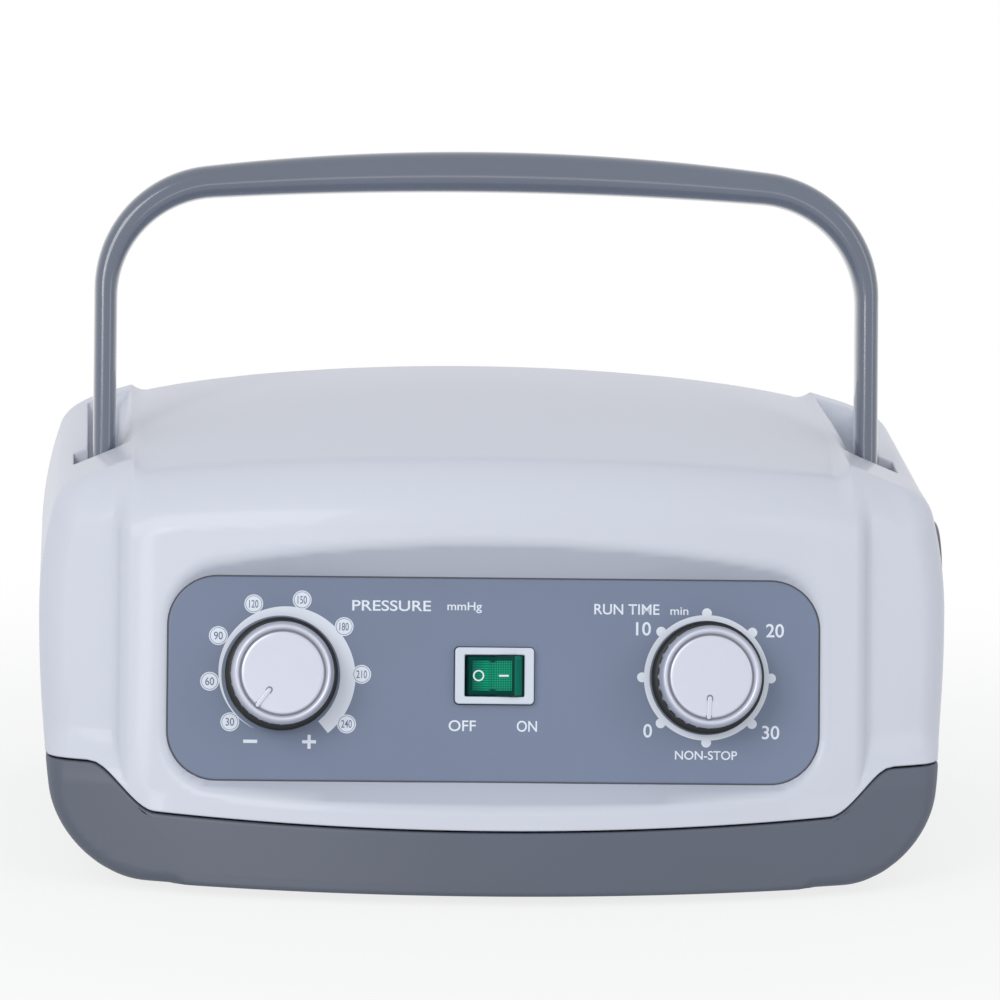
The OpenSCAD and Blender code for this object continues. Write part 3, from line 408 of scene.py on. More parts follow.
CAP = Finish("satin_silver_cap", linear(200, 203, 216), rough=0.36, metal=0.6, scale=5200, relief=0.02,
             clouds=0.02)
# Painted shade: dark grey lines round the pointer ridge and at the disc's edge, standing in for shadow in the
# cap's grooves.
PAINTED_GROOVE_SHADE = Finish("cap_painted_groove_shade", linear(128, 128, 136), rough=0.4, metal=0.5, scale=3000, relief=0.006)
BEZEL = Finish("white_switch_bezel", linear(214, 221, 232), rough=0.32, coat=0.3, scale=1500, relief=0.005)
ROCKER = Finish("green_rocker", linear(0, 108, 88), rough=0.3, coat=0.05, scale=900, relief=0.006,
                clouds=0.12, specular=0.15)
# Lens: dark green, with a painted glow round a point and painted highlights on its crests.
LENS = PaintedGlowLensFinish("dotted_lens_painted_glow", linear(0, 92, 72), rough=0.35, scale=700, relief=0.004, clouds=0.1,
                  specular=0.12)
# Painted shade: a darker copy of the rocker's green for the border round the lens, the pressed end and the
# wedges over the pivots.
PAINTED_SHADE_GREEN = Finish("rocker_painted_shade_green", linear(0, 62, 54), rough=0.4, scale=900, relief=0.01, clouds=0.1, specular=0.06)
COLLAR = Finish("grey_outlet_collar", linear(74, 76, 82), rough=0.4, scale=2000, relief=0.015, clouds=0.05)
RUBBER = Finish("black_rubber", linear(28, 28, 30), rough=0.75, scale=1800, relief=0.04, clouds=0.12,
                specular=0.3)
STEEL = Finish("steel", linear(176, 179, 184), rough=0.3, metal=1.0, pattern=Pattern.BRUSHED, scale=2500,
               relief=0.006)
BRASS = Finish("brass", linear(190, 156, 92), rough=0.28, metal=1.0, pattern=Pattern.BRUSHED, scale=2500,
               relief=0.006)
BLACK = Finish("black_plastic", linear(30, 30, 33), rough=0.4, scale=2200, relief=0.02, clouds=0.08)
NYLON = Finish("white_nylon", linear(222, 221, 214), rough=0.42, scale=1500, relief=0.01)
HOSE = Finish("clear_hose", linear(226, 228, 222), rough=0.2, clear=0.6, scale=700, relief=0.01)
GLASS = Finish("lamp_glass", linear(236, 196, 160), rough=0.06, clear=0.8, scale=600, relief=0.004)
CAST = Finish("cast_aluminium", linear(160, 163, 168), rough=0.5, metal=0.9, scale=1400, relief=0.06,
              clouds=0.06)
COPPER = Finish("copper_winding", linear(184, 104, 58), rough=0.35, metal=0.7, pattern=Pattern.WINDING,
                scale=1600, relief=0.12, clouds=0.08)
LAMINATION = Finish("stacked_lamination", linear(112, 113, 118), rough=0.42, metal=0.85,
                    pattern=Pattern.LAYERS, scale=2000, relief=0.08)
BOARD = Finish("green_board", linear(24, 98, 62), rough=0.35, coat=0.3, pattern=Pattern.TRACES, scale=700,
               relief=0.03, clouds=0.15)
DARK_PART = Finish("dark_component", linear(44, 48, 62), rough=0.4, scale=1800, relief=0.02, clouds=0.1)
TERMINAL = Finish("green_terminal", linear(34, 128, 84), rough=0.42, scale=1800, relief=0.02, clouds=0.06)
WIRE = Finish("blue_wire", linear(40, 66, 142), rough=0.38, scale=900, relief=0.02, clouds=0.08)
FOAM = Finish("grey_foam", linear(62, 62, 68), rough=0.9, pattern=Pattern.FOAM, scale=900, relief=0.4,
              clouds=0.2)

SLOT_FINISHES = {
    "housing_white": WHITE, "tray_grey": TRAY, "panel_slate": SLATE, "skirt_black": SKIRT, "cap_silver": CAP,
    "steel": STEEL, "brass": BRASS, "bezel_white": BEZEL, "rocker_green": ROCKER, "lamp_glass": GLASS,
    "handle_slate": HANDLE, "collar_grey": COLLAR, "hose_clear": HOSE, "nylon_white": NYLON,
    "rubber_black": RUBBER, "cast_grey": CAST, "copper": COPPER, "lamination": LAMINATION,
    "black_plastic": BLACK, "board_green": BOARD, "component_dark": DARK_PART, "terminal_green": TERMINAL,
    "wire_blue": WIRE, "foam_grey": FOAM}


def add_piece(name: str, shape: Surface | bpy.types.Mesh, finish: Finish,
              body: str = "pump_body", replaces: tuple[str, ...] = ()) -> bpy.types.Object:
    """Puts a finished mesh into the scene and onto its body.

    Args:
        name: The piece's name.
        shape: Its surface or its mesh, already in place.
        finish: What it is finished with.
        body: Body that it moves with.
        replaces: Nodes of the frame that it stands for.

    Returns:
        The object.
    """
    mesh = shape.mesh(name) if isinstance(shape, Surface) else shape
    mesh.materials.append(finish.material())
    piece = put(name, mesh)
    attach(piece, body)
    if replaces:
        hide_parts(*replaces)
    LOG.info("%s: %d faces, on %s", name, len(mesh.polygons), body)
    return piece


def rounded_rect(width: float, height: float, r: float, steps: int = 10) -> Array:
    """Outline of a rectangle with round corners, as quarter circles joined by straight sides."""
    a = np.radians(np.linspace(0, 90, steps + 1))
    corner = around(a) * r
    turns = [np.array([[math.cos(t), math.sin(t)], [-math.sin(t), math.cos(t)]])
             for t in np.radians([0, 90, 180, 270])]
    centres = np.array([[1, 1], [-1, 1], [-1, -1], [1, -1]]) * (np.array([width, height]) / 2 - r)
    return np.vstack([corner @ turn + centre for turn, centre in zip(turns, centres)])


def around(a: Array) -> Array:
    """Points of the unit circle at an array of angles."""
    return np.stack([np.cos(a), np.sin(a)], -1)


def circle(r: float, count: int = 48, centre: tuple[float, float] = (0.0, 0.0)) -> Array:
    """Outline of a circle."""
    return around(np.arange(count) * 2 * np.pi / count) * r + np.array(centre)


def plate(outlines: list[Array], low: float, high: float, place: Place, bevel: float = 0.0,
          name: str = "plate") -> bpy.types.Mesh:
    """A flat plate with holes, cut from outlines and given rounded edges.

    Args:
        outlines: Closed outlines in the place's u and w; one inside another is a hole.
        low, high: Heights of its two faces along h.
        place: Where it lies.
        bevel: Radius of its edges.
        name: Name of the mesh.

    Returns:
        The mesh in place, in metres.
    """
    curve = bpy.data.curves.new(name, "CURVE")
    curve.dimensions = "2D"
    curve.fill_mode = "BOTH"
    curve.extrude = (high - low) / 2 - bevel
    curve.bevel_depth = bevel
    curve.bevel_resolution = 3
    curve.offset = -bevel
    for outline in outlines:
        spline = curve.splines.new("POLY")
        spline.points.add(len(outline) - 1)
        flat = np.column_stack([outline, np.zeros(len(outline)), np.ones(len(outline))])
        spline.points.foreach_set("co", flat.ravel())
        spline.use_cyclic_u = True
    return curve_mesh(curve, place, (low + high) / 2)


def curve_mesh(curve: bpy.types.Curve, place: Place, height: float) -> bpy.types.Mesh:
    """Makes a flat curve or text a mesh and lays it in a place.

    Args:
        curve: The curve, drawn in millimetres.
        place: Where it lies.
        height: Height of its middle plane along h.

    Returns:
        The mesh in metres, with sharp edges kept sharp.
    """
    holder = put(curve.name, curve)
    bpy.context.view_layer.update()
    mesh = bpy.data.meshes.new_from_object(holder.evaluated_get(bpy.context.evaluated_depsgraph_get()))
    bpy.data.objects.remove(holder)
    bpy.data.curves.remove(curve)
    points = np.zeros(len(mesh.vertices) * 3)
    mesh.vertices.foreach_get("co", points)
    points = points.reshape(-1, 3) + np.array([0, 0, height])
    mesh.vertices.foreach_set("co", (place.out(points) * MM).ravel())
    mesh.polygons.foreach_set("use_smooth", np.ones(len(mesh.polygons), bool))
    mesh.update()
    mesh.set_sharp_from_angle(angle=math.radians(38))
    return mesh


def text_mesh(words: str, size: float, place: Place, height: float, thick: float, wide: float = 1.0,
              bold: float = 0.0) -> bpy.types.Mesh:
    """Flat lettering centred on a place.

    Args:
        words: What it says.
        size: Height of its capitals.
        place: Its centre and axes.
        height: Height of its middle plane along h.
        thick: Its thickness.
        wide: Factor on its width.
        bold: Growth of the strokes on each side.

    Returns:
        The mesh in metres.
    """
    text = bpy.data.curves.new("words", "FONT")
    text.body = words
    text.align_x = "CENTER"
    text.align_y = "CENTER"
    text.size = size / 0.7
    text.extrude = thick / 2
    text.offset = bold
    mesh = curve_mesh(text, LEVEL, 0)
    points = np.zeros(len(mesh.vertices) * 3)
    mesh.vertices.foreach_get("co", points)
    points = points.reshape(-1, 3) / MM
    middle = (points.max(0) + points.min(0)) / 2
    points = (points - middle) * np.array([wide, 1, 1]) + np.array([0, 0, height])
    mesh.vertices.foreach_set("co", (place.out(points) * MM).ravel())
    mesh.update()
    return mesh


def merge(name: str, meshes: list[bpy.types.Mesh]) -> bpy.types.Mesh:
    """Joins meshes into one.

    Args:
        name: Name of the result.
        meshes: Meshes to join; they are removed.

    Returns:
        The joined mesh.
    """
    whole = bmesh.new()
    for mesh in meshes:
        whole.from_mesh(mesh)
        bpy.data.meshes.remove(mesh)
    result = bpy.data.meshes.new(name)
    whole.to_mesh(result)
    whole.free()
    return result


def revolve(profile: Array, count: int = 96, flutes: int = 0, depth: Array | None = None) -> Surface:
    """Turns a profile about the h axis.

    Formula: a point (r, h) of the profile goes to (r' cos a, r' sin a, h), where r' is r less the
    flute depth times (1 - cos(flutes a)) / 2.

    Args:
        profile: Radius and height of its points, from the underside outwards and up to the top.
        count: Steps round the axis.
        flutes: Number of flutes.
        depth: Flute depth at each point of the profile.

    Returns:
        The surface, closed at the axis where the profile's ends lie on it.
    """
    a = np.arange(count) * 2 * np.pi / count
    cut = np.zeros(len(profile)) if depth is None else depth
    r = profile[:, :1] - cut[:, None] * (1 - np.cos(flutes * a)) / 2
    h = np.broadcast_to(profile[:, 1:], r.shape)
    verts = np.stack([r * np.cos(a), r * np.sin(a), h], -1).reshape(-1, 3)
    quads = grid_faces(len(profile), count, closed=True)
    tris = np.zeros((0, 3), int)
    ends = [(row, sense) for row, sense in ((0, 1), (len(profile) - 1, -1)) if profile[row, 0] < POLE_R]
    for row, sense in ends:
        loop = row * count + np.arange(count)
        pole = np.full(count, len(verts))
        verts = np.vstack([verts, [[0, 0, profile[row, 1]]]])
        tris = np.vstack([tris, np.stack([pole, np.roll(loop, -sense), loop], -1)])
    return Surface(verts, quads, tris)


def fillet_profile(points: list[tuple[float, float, float]], steps: int = 5) -> Array:
    """Rounds the corners of a profile.

    Formula: each corner gives way to a quadratic curve between the points at its radius along
    the two sides.

    Args:
        points: Radius, height and corner radius of each point.
        steps: Pieces of each round corner.

    Returns:
        Radius and height of the points of the rounded profile.
    """
    out: list[Array] = []
    pts = np.array([p[:2] for p in points], float)
    for i, (_, _, r) in enumerate(points):
        if r <= 0 or i in (0, len(points) - 1):
            out.append(pts[i][None])
            continue
        back, ahead = pts[i - 1] - pts[i], pts[i + 1] - pts[i]
        a = pts[i] + back / np.linalg.norm(back) * min(r, np.linalg.norm(back) * 0.5)
        b = pts[i] + ahead / np.linalg.norm(ahead) * min(r, np.linalg.norm(ahead) * 0.5)
        t = np.linspace(0, 1, steps + 1)[:, None]
        out.append((1 - t) ** 2 * a + 2 * t * (1 - t) * pts[i] + t ** 2 * b)
    return np.vstack(out)


# ---------------------------------------------------------------- the body's form

MARCH_STEPS = 46
MARCH_SHARE = 0.8
MARCH_MISS = 0.004
FAN_REACH = 60.0

@dataclass
class BodyForm:
    """The pump's outer form as a field of distance, negative inside."""

    half_width: float = 121.8
    side_shift: float = 0.9
    front_y: float = -90.0
    rear_y: float = 90.0
    top_z: float = 119.4
    foot_z: float = 2.5
    lean: float = math.radians(12.7)
    bow_r: float = 315.0
    hump_half: float = 99.8
    step: float = 4.0
    hump_edge_r: float = 3.3
    step_fillet: float = 1.8
    shoulder_r: float = 3.6
    brow_r: float = 11.0
    corner_r: float = 22.5
    plan_r: float = 7.0
    rear_r: float = 14.0
    slot_out: float = 112.0
    slot_narrow: float = 108.3
    notch_end: float = 5.0
    handle_lean: float = math.radians(12.0)
    slot_front_ref: float = -9.52
    slot_rear_ref: float = 67.0
    slot_ref_z: float = 108.0
    slot_floor: float = 74.0
    panel_z: float = 56.9
    recess_depth: float = 13.3
    recess_edge_r: float = 1.8
    seam_mid: float = 19.3
    seam_side: float = 32.5
    side_curl: tuple[float, float] = (0.0015, 0.005)
    side_bend_z: float = 70.0
    side_top_z: float = 107.0
    low_edge_r: float = 3.5
    low_rear_r: float = 4.0
    slot_in: float = 97.0
    inlet: tuple[float, float] = (-66.0, 46.0)
    filter_at: tuple[float, float] = (62.0, 50.0)
    outlet: tuple[float, float] = (4.0, 71.0)
    vent_x: float = -14.05
    screw_x: float = 86.0
    screw_y: tuple[float, float] = (-46.0, 66.0)

    def panel_place(self) -> Place:
        """The panel's axes: u across, w up its slope, h out of it."""
        rise = self.panel_z - self.foot_z
        y = self.front_y + rise * math.tan(self.lean) + self.recess_depth / math.cos(self.lean)
        return Place.leaning((0.0, y, self.panel_z), self.lean)

    def seam_height(self, x: Array) -> Array:
        """Height of the seam: a faint bow in the middle, then a smooth step up to the cheeks."""
        x = np.abs(x)
        return self.seam_mid + 1.5 * np.minimum(x / 87, 1.03) ** 2 \
            + (self.seam_side - self.seam_mid - 1.6) * ease((x - 89.5) / 17.7)

    def rear_wall(self, z: Array) -> Array:
        """Y of the rear wall, which leans in above its knee."""
        soft = 4.0
        return self.rear_y - 0.239 * soft * np.logaddexp(0, (z - 66) / soft)

    def hump(self, x: Array, yl: Array, y: Array, z: Array) -> Array:
        """Field of the raised middle.

        Args:
            x, y, z: Points.
            yl: Their distance behind the leaning front at its middle.

        Returns:
            A cylinder of the bow's radius, cut by the crowned top, the two sides and the rear.
        """
        bow = np.hypot(x, yl - self.bow_r) - self.bow_r
        top = (z - (self.top_z - (y - 35) ** 2 / 1440 - x ** 2 / 1250 - 2 * (x / 100) ** 6)) * 0.98
        whole = round_max(bow, top, 13.0)
        half = self.hump_half - 14 * (1 - ease((z - 8) / 19))
        whole = round_max(whole, np.abs(x) - half, self.hump_edge_r)
        whole = round_max(whole, y - self.rear_wall(z), 4.5)
        return round_max(whole, self.foot_z - z, 1.5)

    def cheeks(self, x: Array, yl: Array, y: Array, z: Array) -> Array:
        """Field of the cheeks, with the slots for the handle's legs cut into them.

        Args:
            x, y, z: Points.
            yl: Their distance behind the leaning front at its middle.

        Returns:
            A form a step behind the middle, with bowed sides, round lower corners, sloping tops
            and round shoulders.
        """
        ax = np.abs(x)
        bow = np.hypot(x, yl - self.bow_r - self.step * ease((z - 27) / 14)) - self.bow_r
        curl = np.where(z > self.side_bend_z, self.side_curl[1], self.side_curl[0])
        curl = curl * (np.minimum(z, self.side_top_z) - self.side_bend_z) ** 2
        side = np.abs(x - self.side_shift) - (self.half_width - curl)
        sides = round_max(side, self.foot_z - z, self.corner_r)
        rise = np.clip((z - self.foot_z) / 27.5, 0, 1)
        whole = round_max(bow, sides, self.low_edge_r + (self.plan_r - self.low_edge_r) * ease((z - 18) / 30))
        rear_r = self.low_rear_r + (self.rear_r - self.low_rear_r) * rise
        whole = round_max(whole, y - self.rear_wall(z), rear_r)
        back = np.clip((y + 10) / 80, 0, 1)
        inner = np.maximum(96 - ax, 0)
        slope = (0.41 - 0.11 * back) * (np.maximum(ax, 96) - 100)
        top = (z - (108.4 + 2.1 * back - slope - 0.8 * inner)) * 0.93
        at_brow = ease((bow - side + 10) / 20)
        whole = round_max(whole, top, self.shoulder_r + (self.brow_r - self.shoulder_r) * at_brow)
        ref = y - (z - self.slot_ref_z) * math.tan(self.handle_lean)
        slot_y = round_max(self.slot_front_ref - ref, ref - self.slot_rear_ref, 0.1)
        outer = np.minimum(ax - self.slot_narrow, round_max(ax - self.slot_out, ref - self.notch_end, 0.3))
        slot_x = round_max(self.slot_in - ax, outer, 0.1)
        slot = round_max(round_max(slot_x, slot_y, 1.2), self.slot_floor - z, 0.5)
        return round_max(whole, -slot, 0.7)

    def recess(self, points: Array) -> Array:
        """Field of the flared hollow before the panel.

        Formula: a rounded rectangle round the panel whose half sizes grow with the height h above
        the panel by the tangents of the flares, cut off at the panel's seat.

        Args:
            points: Points in the pump's frame.

        Returns:
            The field, negative in the hollow.
        """
        u, w, h = self.panel_place().inside(points).T
        rise = h + 0.3
        half_u = 86.8 + rise * math.tan(math.radians(40))
        up = 27.25 + rise * math.tan(math.radians(33))
        down = 27.25 + rise * math.tan(math.radians(28))
        r = 13.3 + 0.7 * rise
        du = np.abs(u) - half_u + r
        dw = np.where(w + 1.15 > 0, w + 1.15 - up, -(w + 1.15) - down) + r
        rect = np.hypot(np.maximum(du, 0), np.maximum(dw, 0)) + np.minimum(np.maximum(du, dw), 0) - r
        return round_max(rect * 0.82, -(h + 3.2), 0.2)

    def pits(self, x: Array, y: Array, z: Array) -> Array:
        """Field of the openings behind the inlet, the filter cover, the outlet and the screws."""
        def box(a: Array, half_a: float, b: Array, half_b: float, depth: Array) -> Array:
            return np.maximum(np.maximum(np.abs(a) - half_a, np.abs(b) - half_b), depth)
        inlet = box(x - self.inlet[0], 13.7, z - self.inlet[1], 10.2, 69.5 - y)
        screen = box(x - self.filter_at[0], 17.0, z - self.filter_at[1], 11.0, 79.0 - y)
        outlet = np.maximum(np.hypot(y - self.outlet[0], z - self.outlet[1]) - 13.1, 116.6 - x)
        ports = np.minimum(np.minimum(inlet, screen), outlet)
        vent = x - self.vent_x
        vent = np.abs(vent - 10 * np.clip(np.round(vent / 10), -3, 3)) - 1.5
        vents = np.maximum(np.maximum(vent, np.abs(y - 4) - 17), z - 8.0)
        row = np.where(y < 10, y - self.screw_y[0], y - self.screw_y[1])
        screws = np.maximum(np.hypot(np.abs(x) - self.screw_x, row) - 4.0, z - 9.5)
        return np.minimum(ports, np.minimum(vents, screws))

    def distance(self, points: Array) -> Array:
        """Field of the whole body at an array of points."""
        x, y, z = points.T
        yl = (y - self.front_y) * math.cos(self.lean) - (z - self.foot_z) * math.sin(self.lean)
        fillet = 0.01 + self.step_fillet * ease((z - 29) / 14)
        body = round_min(self.hump(x, yl, y, z), self.cheeks(x, yl, y, z), fillet)
        body = round_max(body, -self.recess(points), self.recess_edge_r)
        return np.maximum(body, -self.pits(x, y, z))

    def normals(self, points: Array) -> Array:
        """Outward directions at points of the surface: the field's slope by small differences."""
        small = 0.05
        slope = np.stack([self.distance(points + small * axis) - self.distance(points - small * axis)
                          for axis in np.eye(3)], -1)
        return slope / np.maximum(np.linalg.norm(slope, axis=1, keepdims=True), 1e-9)

    def cast(self, base: Array, ways: Array, reach: float = 70.0) -> Array:
        """Finds where rays that come in from outside first meet the body.

        Args:
            base: Points inside the body, or behind what the rays should meet.
            ways: Outward unit directions; each ray starts at reach along its way.
            reach: Distance at which the rays start.

        Returns:
            The points of the surface.
        """
        t = np.full(len(base), float(reach))
        for _ in range(MARCH_STEPS):
            t -= MARCH_SHARE * self.distance(base + ways * t[:, None])
        left = np.nonzero(np.abs(self.distance(base + ways * t[:, None])) > MARCH_MISS)[0]
        if len(left):
            t[left] = self._scan(base[left], ways[left], t[left])
        return base + ways * t[:, None]

    def _scan(self, base: Array, ways: Array, start: Array) -> Array:
        """Steps rays inwards until they cross the surface, then halves the last step."""
        stride = 0.3
        t = start + 0.2
        for _ in range(260):
            out = self.distance(base + ways * t[:, None]) > 0
            t -= stride * out
        low, high = t, t + stride
        for _ in range(12):
            mid = (low + high) / 2
            out = self.distance(base + ways * mid[:, None]) > 0
            low, high = np.where(out, low, mid), np.where(out, mid, high)
        return (low + high) / 2


@dataclass
class ShellGrid:
    """A shell drawn by rays: a cap of crossing lines and rows of rays round its border.

    Formula: a cap vertex is where a ray along the cap's way through a point of the base meets
    the body. Round the border, rays fan from that way to a level way, and rows of level rays
    then follow the wall to the seam.
    """

    form: BodyForm
    xs: Array
    ys: Array
    wall: float = 2.5
    fan_rows: int = 13
    wall_rows: int = 53
    rim_r: float = 0.5
    gap: float = 0.22
    front_turn: float = 11.0
    rear_turn: float = 16.0

    def border(self) -> tuple[Array, Array]:
        """Row and column numbers of the cap's border, from the front's left end round by the right."""
        ny, nx = len(self.ys), len(self.xs)
        number = np.arange(ny * nx).reshape(ny, nx)
        loop = np.concatenate([number[0], number[1:, -1], number[-1, -2::-1], number[-2:0:-1, 0]])
        return np.divmod(loop, nx)

    def outward(self, x: Array, y: Array, front: Array, straight: Array) -> Array:
        """Level ways of the border's rays.

        Formula: square to the front and the rear between the straight limits, turning to the
        corner's diagonal and on to the sides.

        Args:
            x, y: Plan places of the border.
            front: Y of the border's front corner for each point.
            straight: |x| up to which the ways are square to the front.

        Returns:
            Unit vectors with no upward part.
        """
        ax, edge = np.abs(x), self.xs[-1]
        across = ease((ax - straight) / (edge - straight)) * 0.5
        on_side = ax > edge - 1e-6
        near_front = np.clip((y - front) / self.front_turn, 0, 1)
        near_rear = np.clip((self.ys[-1] - y) / self.rear_turn, 0, 1)
        turn = np.where(on_side, 0.5 + 0.5 * ease(np.minimum(near_front, near_rear)), across)
        sign_y = np.where(y < 0, -1.0, 1.0)
        a = turn * math.pi / 2
        return np.stack([np.sign(x) * np.sin(a), sign_y * np.cos(a), np.zeros_like(a)], -1)

    def seam_points(self, base: Array, ways: Array, start: Array) -> Array:
        """Heights at which level rays meet the seam, found by a few passes."""
        z = start.copy()
        for _ in range(5):
            hit = self.form.cast(np.column_stack([base[:, :2], z]), ways)
            z = self.form.seam_height(hit[:, 0])
        return z

    def rays(self, start: Array, ways: Array, pole: Array, sense: int, rim: list[float]) -> Array:
        """Outer points from the seam along the wall and round the border's edge.

        Args:
            start: Where the fans of rays leave from, below the border of the cap.
            ways: Level ways of the border's rays.
            pole: Way of the cap's rays.
            sense: 1 for a shell above the seam, -1 for one below it.
            rim: Distances of the rim's rows from the seam.

        Returns:
            Points by row and column, from the seam to the last row before the cap.
        """
        plan, end = start[:, :2], start[:, 2]
        seam = self.seam_points(start, ways, np.full(len(start), self.form.seam_side)) + sense * self.gap
        first = seam + sense * self.rim_r
        levels = [seam + sense * dz for dz in rim]
        levels += [first + (end - first) * k for k in np.linspace(0, 1, self.wall_rows)]
        rows = [self.form.cast(np.column_stack([plan, z]), ways) for z in levels]
        for a in np.linspace(0, math.pi / 2, self.fan_rows + 1)[1:-1]:
            way = ways * math.cos(a) + pole * math.sin(a)
            way /= np.linalg.norm(way, axis=1, keepdims=True)
            rows.append(self.form.cast(start, way, FAN_REACH))
        return np.array(rows)

    def assemble(self, cap: Array, rows: Array, sense: int, rim_rows: int) -> Surface:
        """Closes a shell from its outer points.

        Args:
            cap: Outer points of the cap, by row and column.
            rows: Outer points of the wall, from the seam to the cap's border.
            sense: 1 for a shell that opens downwards, -1 for one that opens upwards.
            rim_rows: Rows at the seam that turn in over the rim.

        Returns:
            The closed shell: outer skin, inner skin a wall's thickness inside it, and the rim.
        """
        ny, nx = cap.shape[:2]
        j, i = self.border()
        count = len(j)
        outer = np.vstack([cap.reshape(-1, 3), rows.reshape(-1, 3)])
        normal = self.form.normals(outer)
        level = normal * np.array([1, 1, 0])
        level /= np.maximum(np.linalg.norm(level, axis=1, keepdims=True), 1e-6)
        inward = normal.copy()
        first = ny * nx
        near = first + np.arange(count * (rim_rows + 2))
        inward[near] = level[near]
        turn_in = np.linspace(1, 0, rim_rows + 1)[:rim_rows]
        for r, amount in enumerate(turn_in):
            span = slice(first + r * count, first + (r + 1) * count)
            inset = self.rim_r * (1 - math.sqrt(1 - amount ** 2)) if amount < 1 else self.rim_r
            outer[span] -= level[span] * inset
            bent = level[span] * (1 - amount) + np.array([0, 0, -sense]) * amount
            normal[span] = bent / np.linalg.norm(bent, axis=1, keepdims=True)
        by_slot = (np.abs(outer[:, 0]) > 95) & (outer[:, 2] > 66)
        inner = outer - inward * np.where(by_slot, 0.4, self.wall)[:, None]
        cap_faces = grid_faces(ny, nx)
        loops = first + np.arange(len(rows) * count).reshape(len(rows), count)
        loops = np.vstack([loops, j * nx + i])
        sides = np.vstack([strip_faces(a, b) for a, b in zip(loops[:-1], loops[1:])])
        if sense < 0:
            cap_faces, sides = cap_faces[:, ::-1], sides[:, ::-1]
        skin = np.vstack([cap_faces, sides])
        total = len(outer)
        rim = np.stack([loops[0], loops[0] + total, np.roll(loops[0], -1) + total, np.roll(loops[0], -1)], -1)
        if sense < 0:
            rim = rim[:, ::-1]
        faces = np.vstack([skin, skin[:, ::-1] + total, rim])
        return Surface(np.vstack([outer, inner]), faces, normals=np.vstack([normal, -inward]))


@dataclass
class UpperHousing(ShellGrid):
    """White upper shell: raised middle, cheeks with the handle's slots, recess and ports."""

    base_z: float = 98.0
    cheek_z: float = 97.0

    @classmethod
    def drawn(cls, form: BodyForm) -> "UpperHousing":
        """Returns the shell with its lines packed where its edges lie."""
        slot = form.slot_out
        half = np.unique(np.concatenate([
            spread((0, 70, 2.35), (70, 94, 1.2), (94, 103.5, 0.5), (103.5, slot - 0.5, 0.9)),
            [99.65, 99.76, 99.86], slot + np.array([-0.2, -0.05, 0.05, 0.2, 0.4, 0.7, 1.1]),
            form.slot_narrow + np.array([-0.4, -0.15, -0.05, 0.05, 0.2, 0.4])]))
        xs = np.concatenate([-half[:0:-1], half])
        front, rear = form.slot_front_ref, form.slot_rear_ref
        ys = np.unique(np.concatenate([
            spread((-54, -44, 1.0), (-44, -14, 2.5), (-14, front - 1, 1.2), (front + 1.5, 48, 5.0),
                   (48, rear - 3, 2.5)),
            front + np.array([-0.7, -0.4, -0.2, -0.08, -0.02, 0.02, 0.2, 0.6]),
            form.notch_end + np.array([-0.8, -0.3, -0.06, 0.0, 0.06, 0.2, 0.4, 0.8, 1.4]),
            rear + np.array([-2.5, -1.0, -0.3, -0.05, 0.05, 0.2, 0.45, 0.75, 1.2, 1.9, 2.7])]))
        return cls(form, xs, ys)

    def surface(self) -> Surface:
        """Returns the closed shell."""
        form = self.form
        tan, lean = math.tan(form.handle_lean), form.handle_lean
        x, y = np.meshgrid(self.xs, self.ys)
        bow = x ** 2 / (2 * form.bow_r)
        y = y + bow * np.clip((-16 - y) / 38, 0, 1)
        up = np.array([0, math.sin(lean), math.cos(lean)])
        base = np.stack([x, y, np.full_like(x, form.slot_ref_z)], -1).reshape(-1, 3)
        deep = base - up * 40
        cap = form.cast(deep, np.broadcast_to(up, deep.shape), 70).reshape(*x.shape, 3)
        j, i = self.border()
        bx, by = x[j, i], y[j, i]
        cheek = ease((np.abs(bx) - 94) / 9)
        back = np.clip((by + 54) / 124, 0, 1)
        top = (self.base_z + 6 * back) * (1 - cheek) + (self.cheek_z + 4 * back) * cheek
        by = by - (form.slot_ref_z - top) * tan
        corner = float(y[0, -1]) - (form.slot_ref_z - self.cheek_z) * tan
        ways = self.outward(bx, by, np.full_like(bx, corner), np.where(by < 0, 103.0, 88.0))
        start = np.column_stack([bx, by, top])
        rim = [0.0, 0.08, 0.25]
        return self.assemble(cap, self.rays(start, ways, up, 1, rim), 1, len(rim))


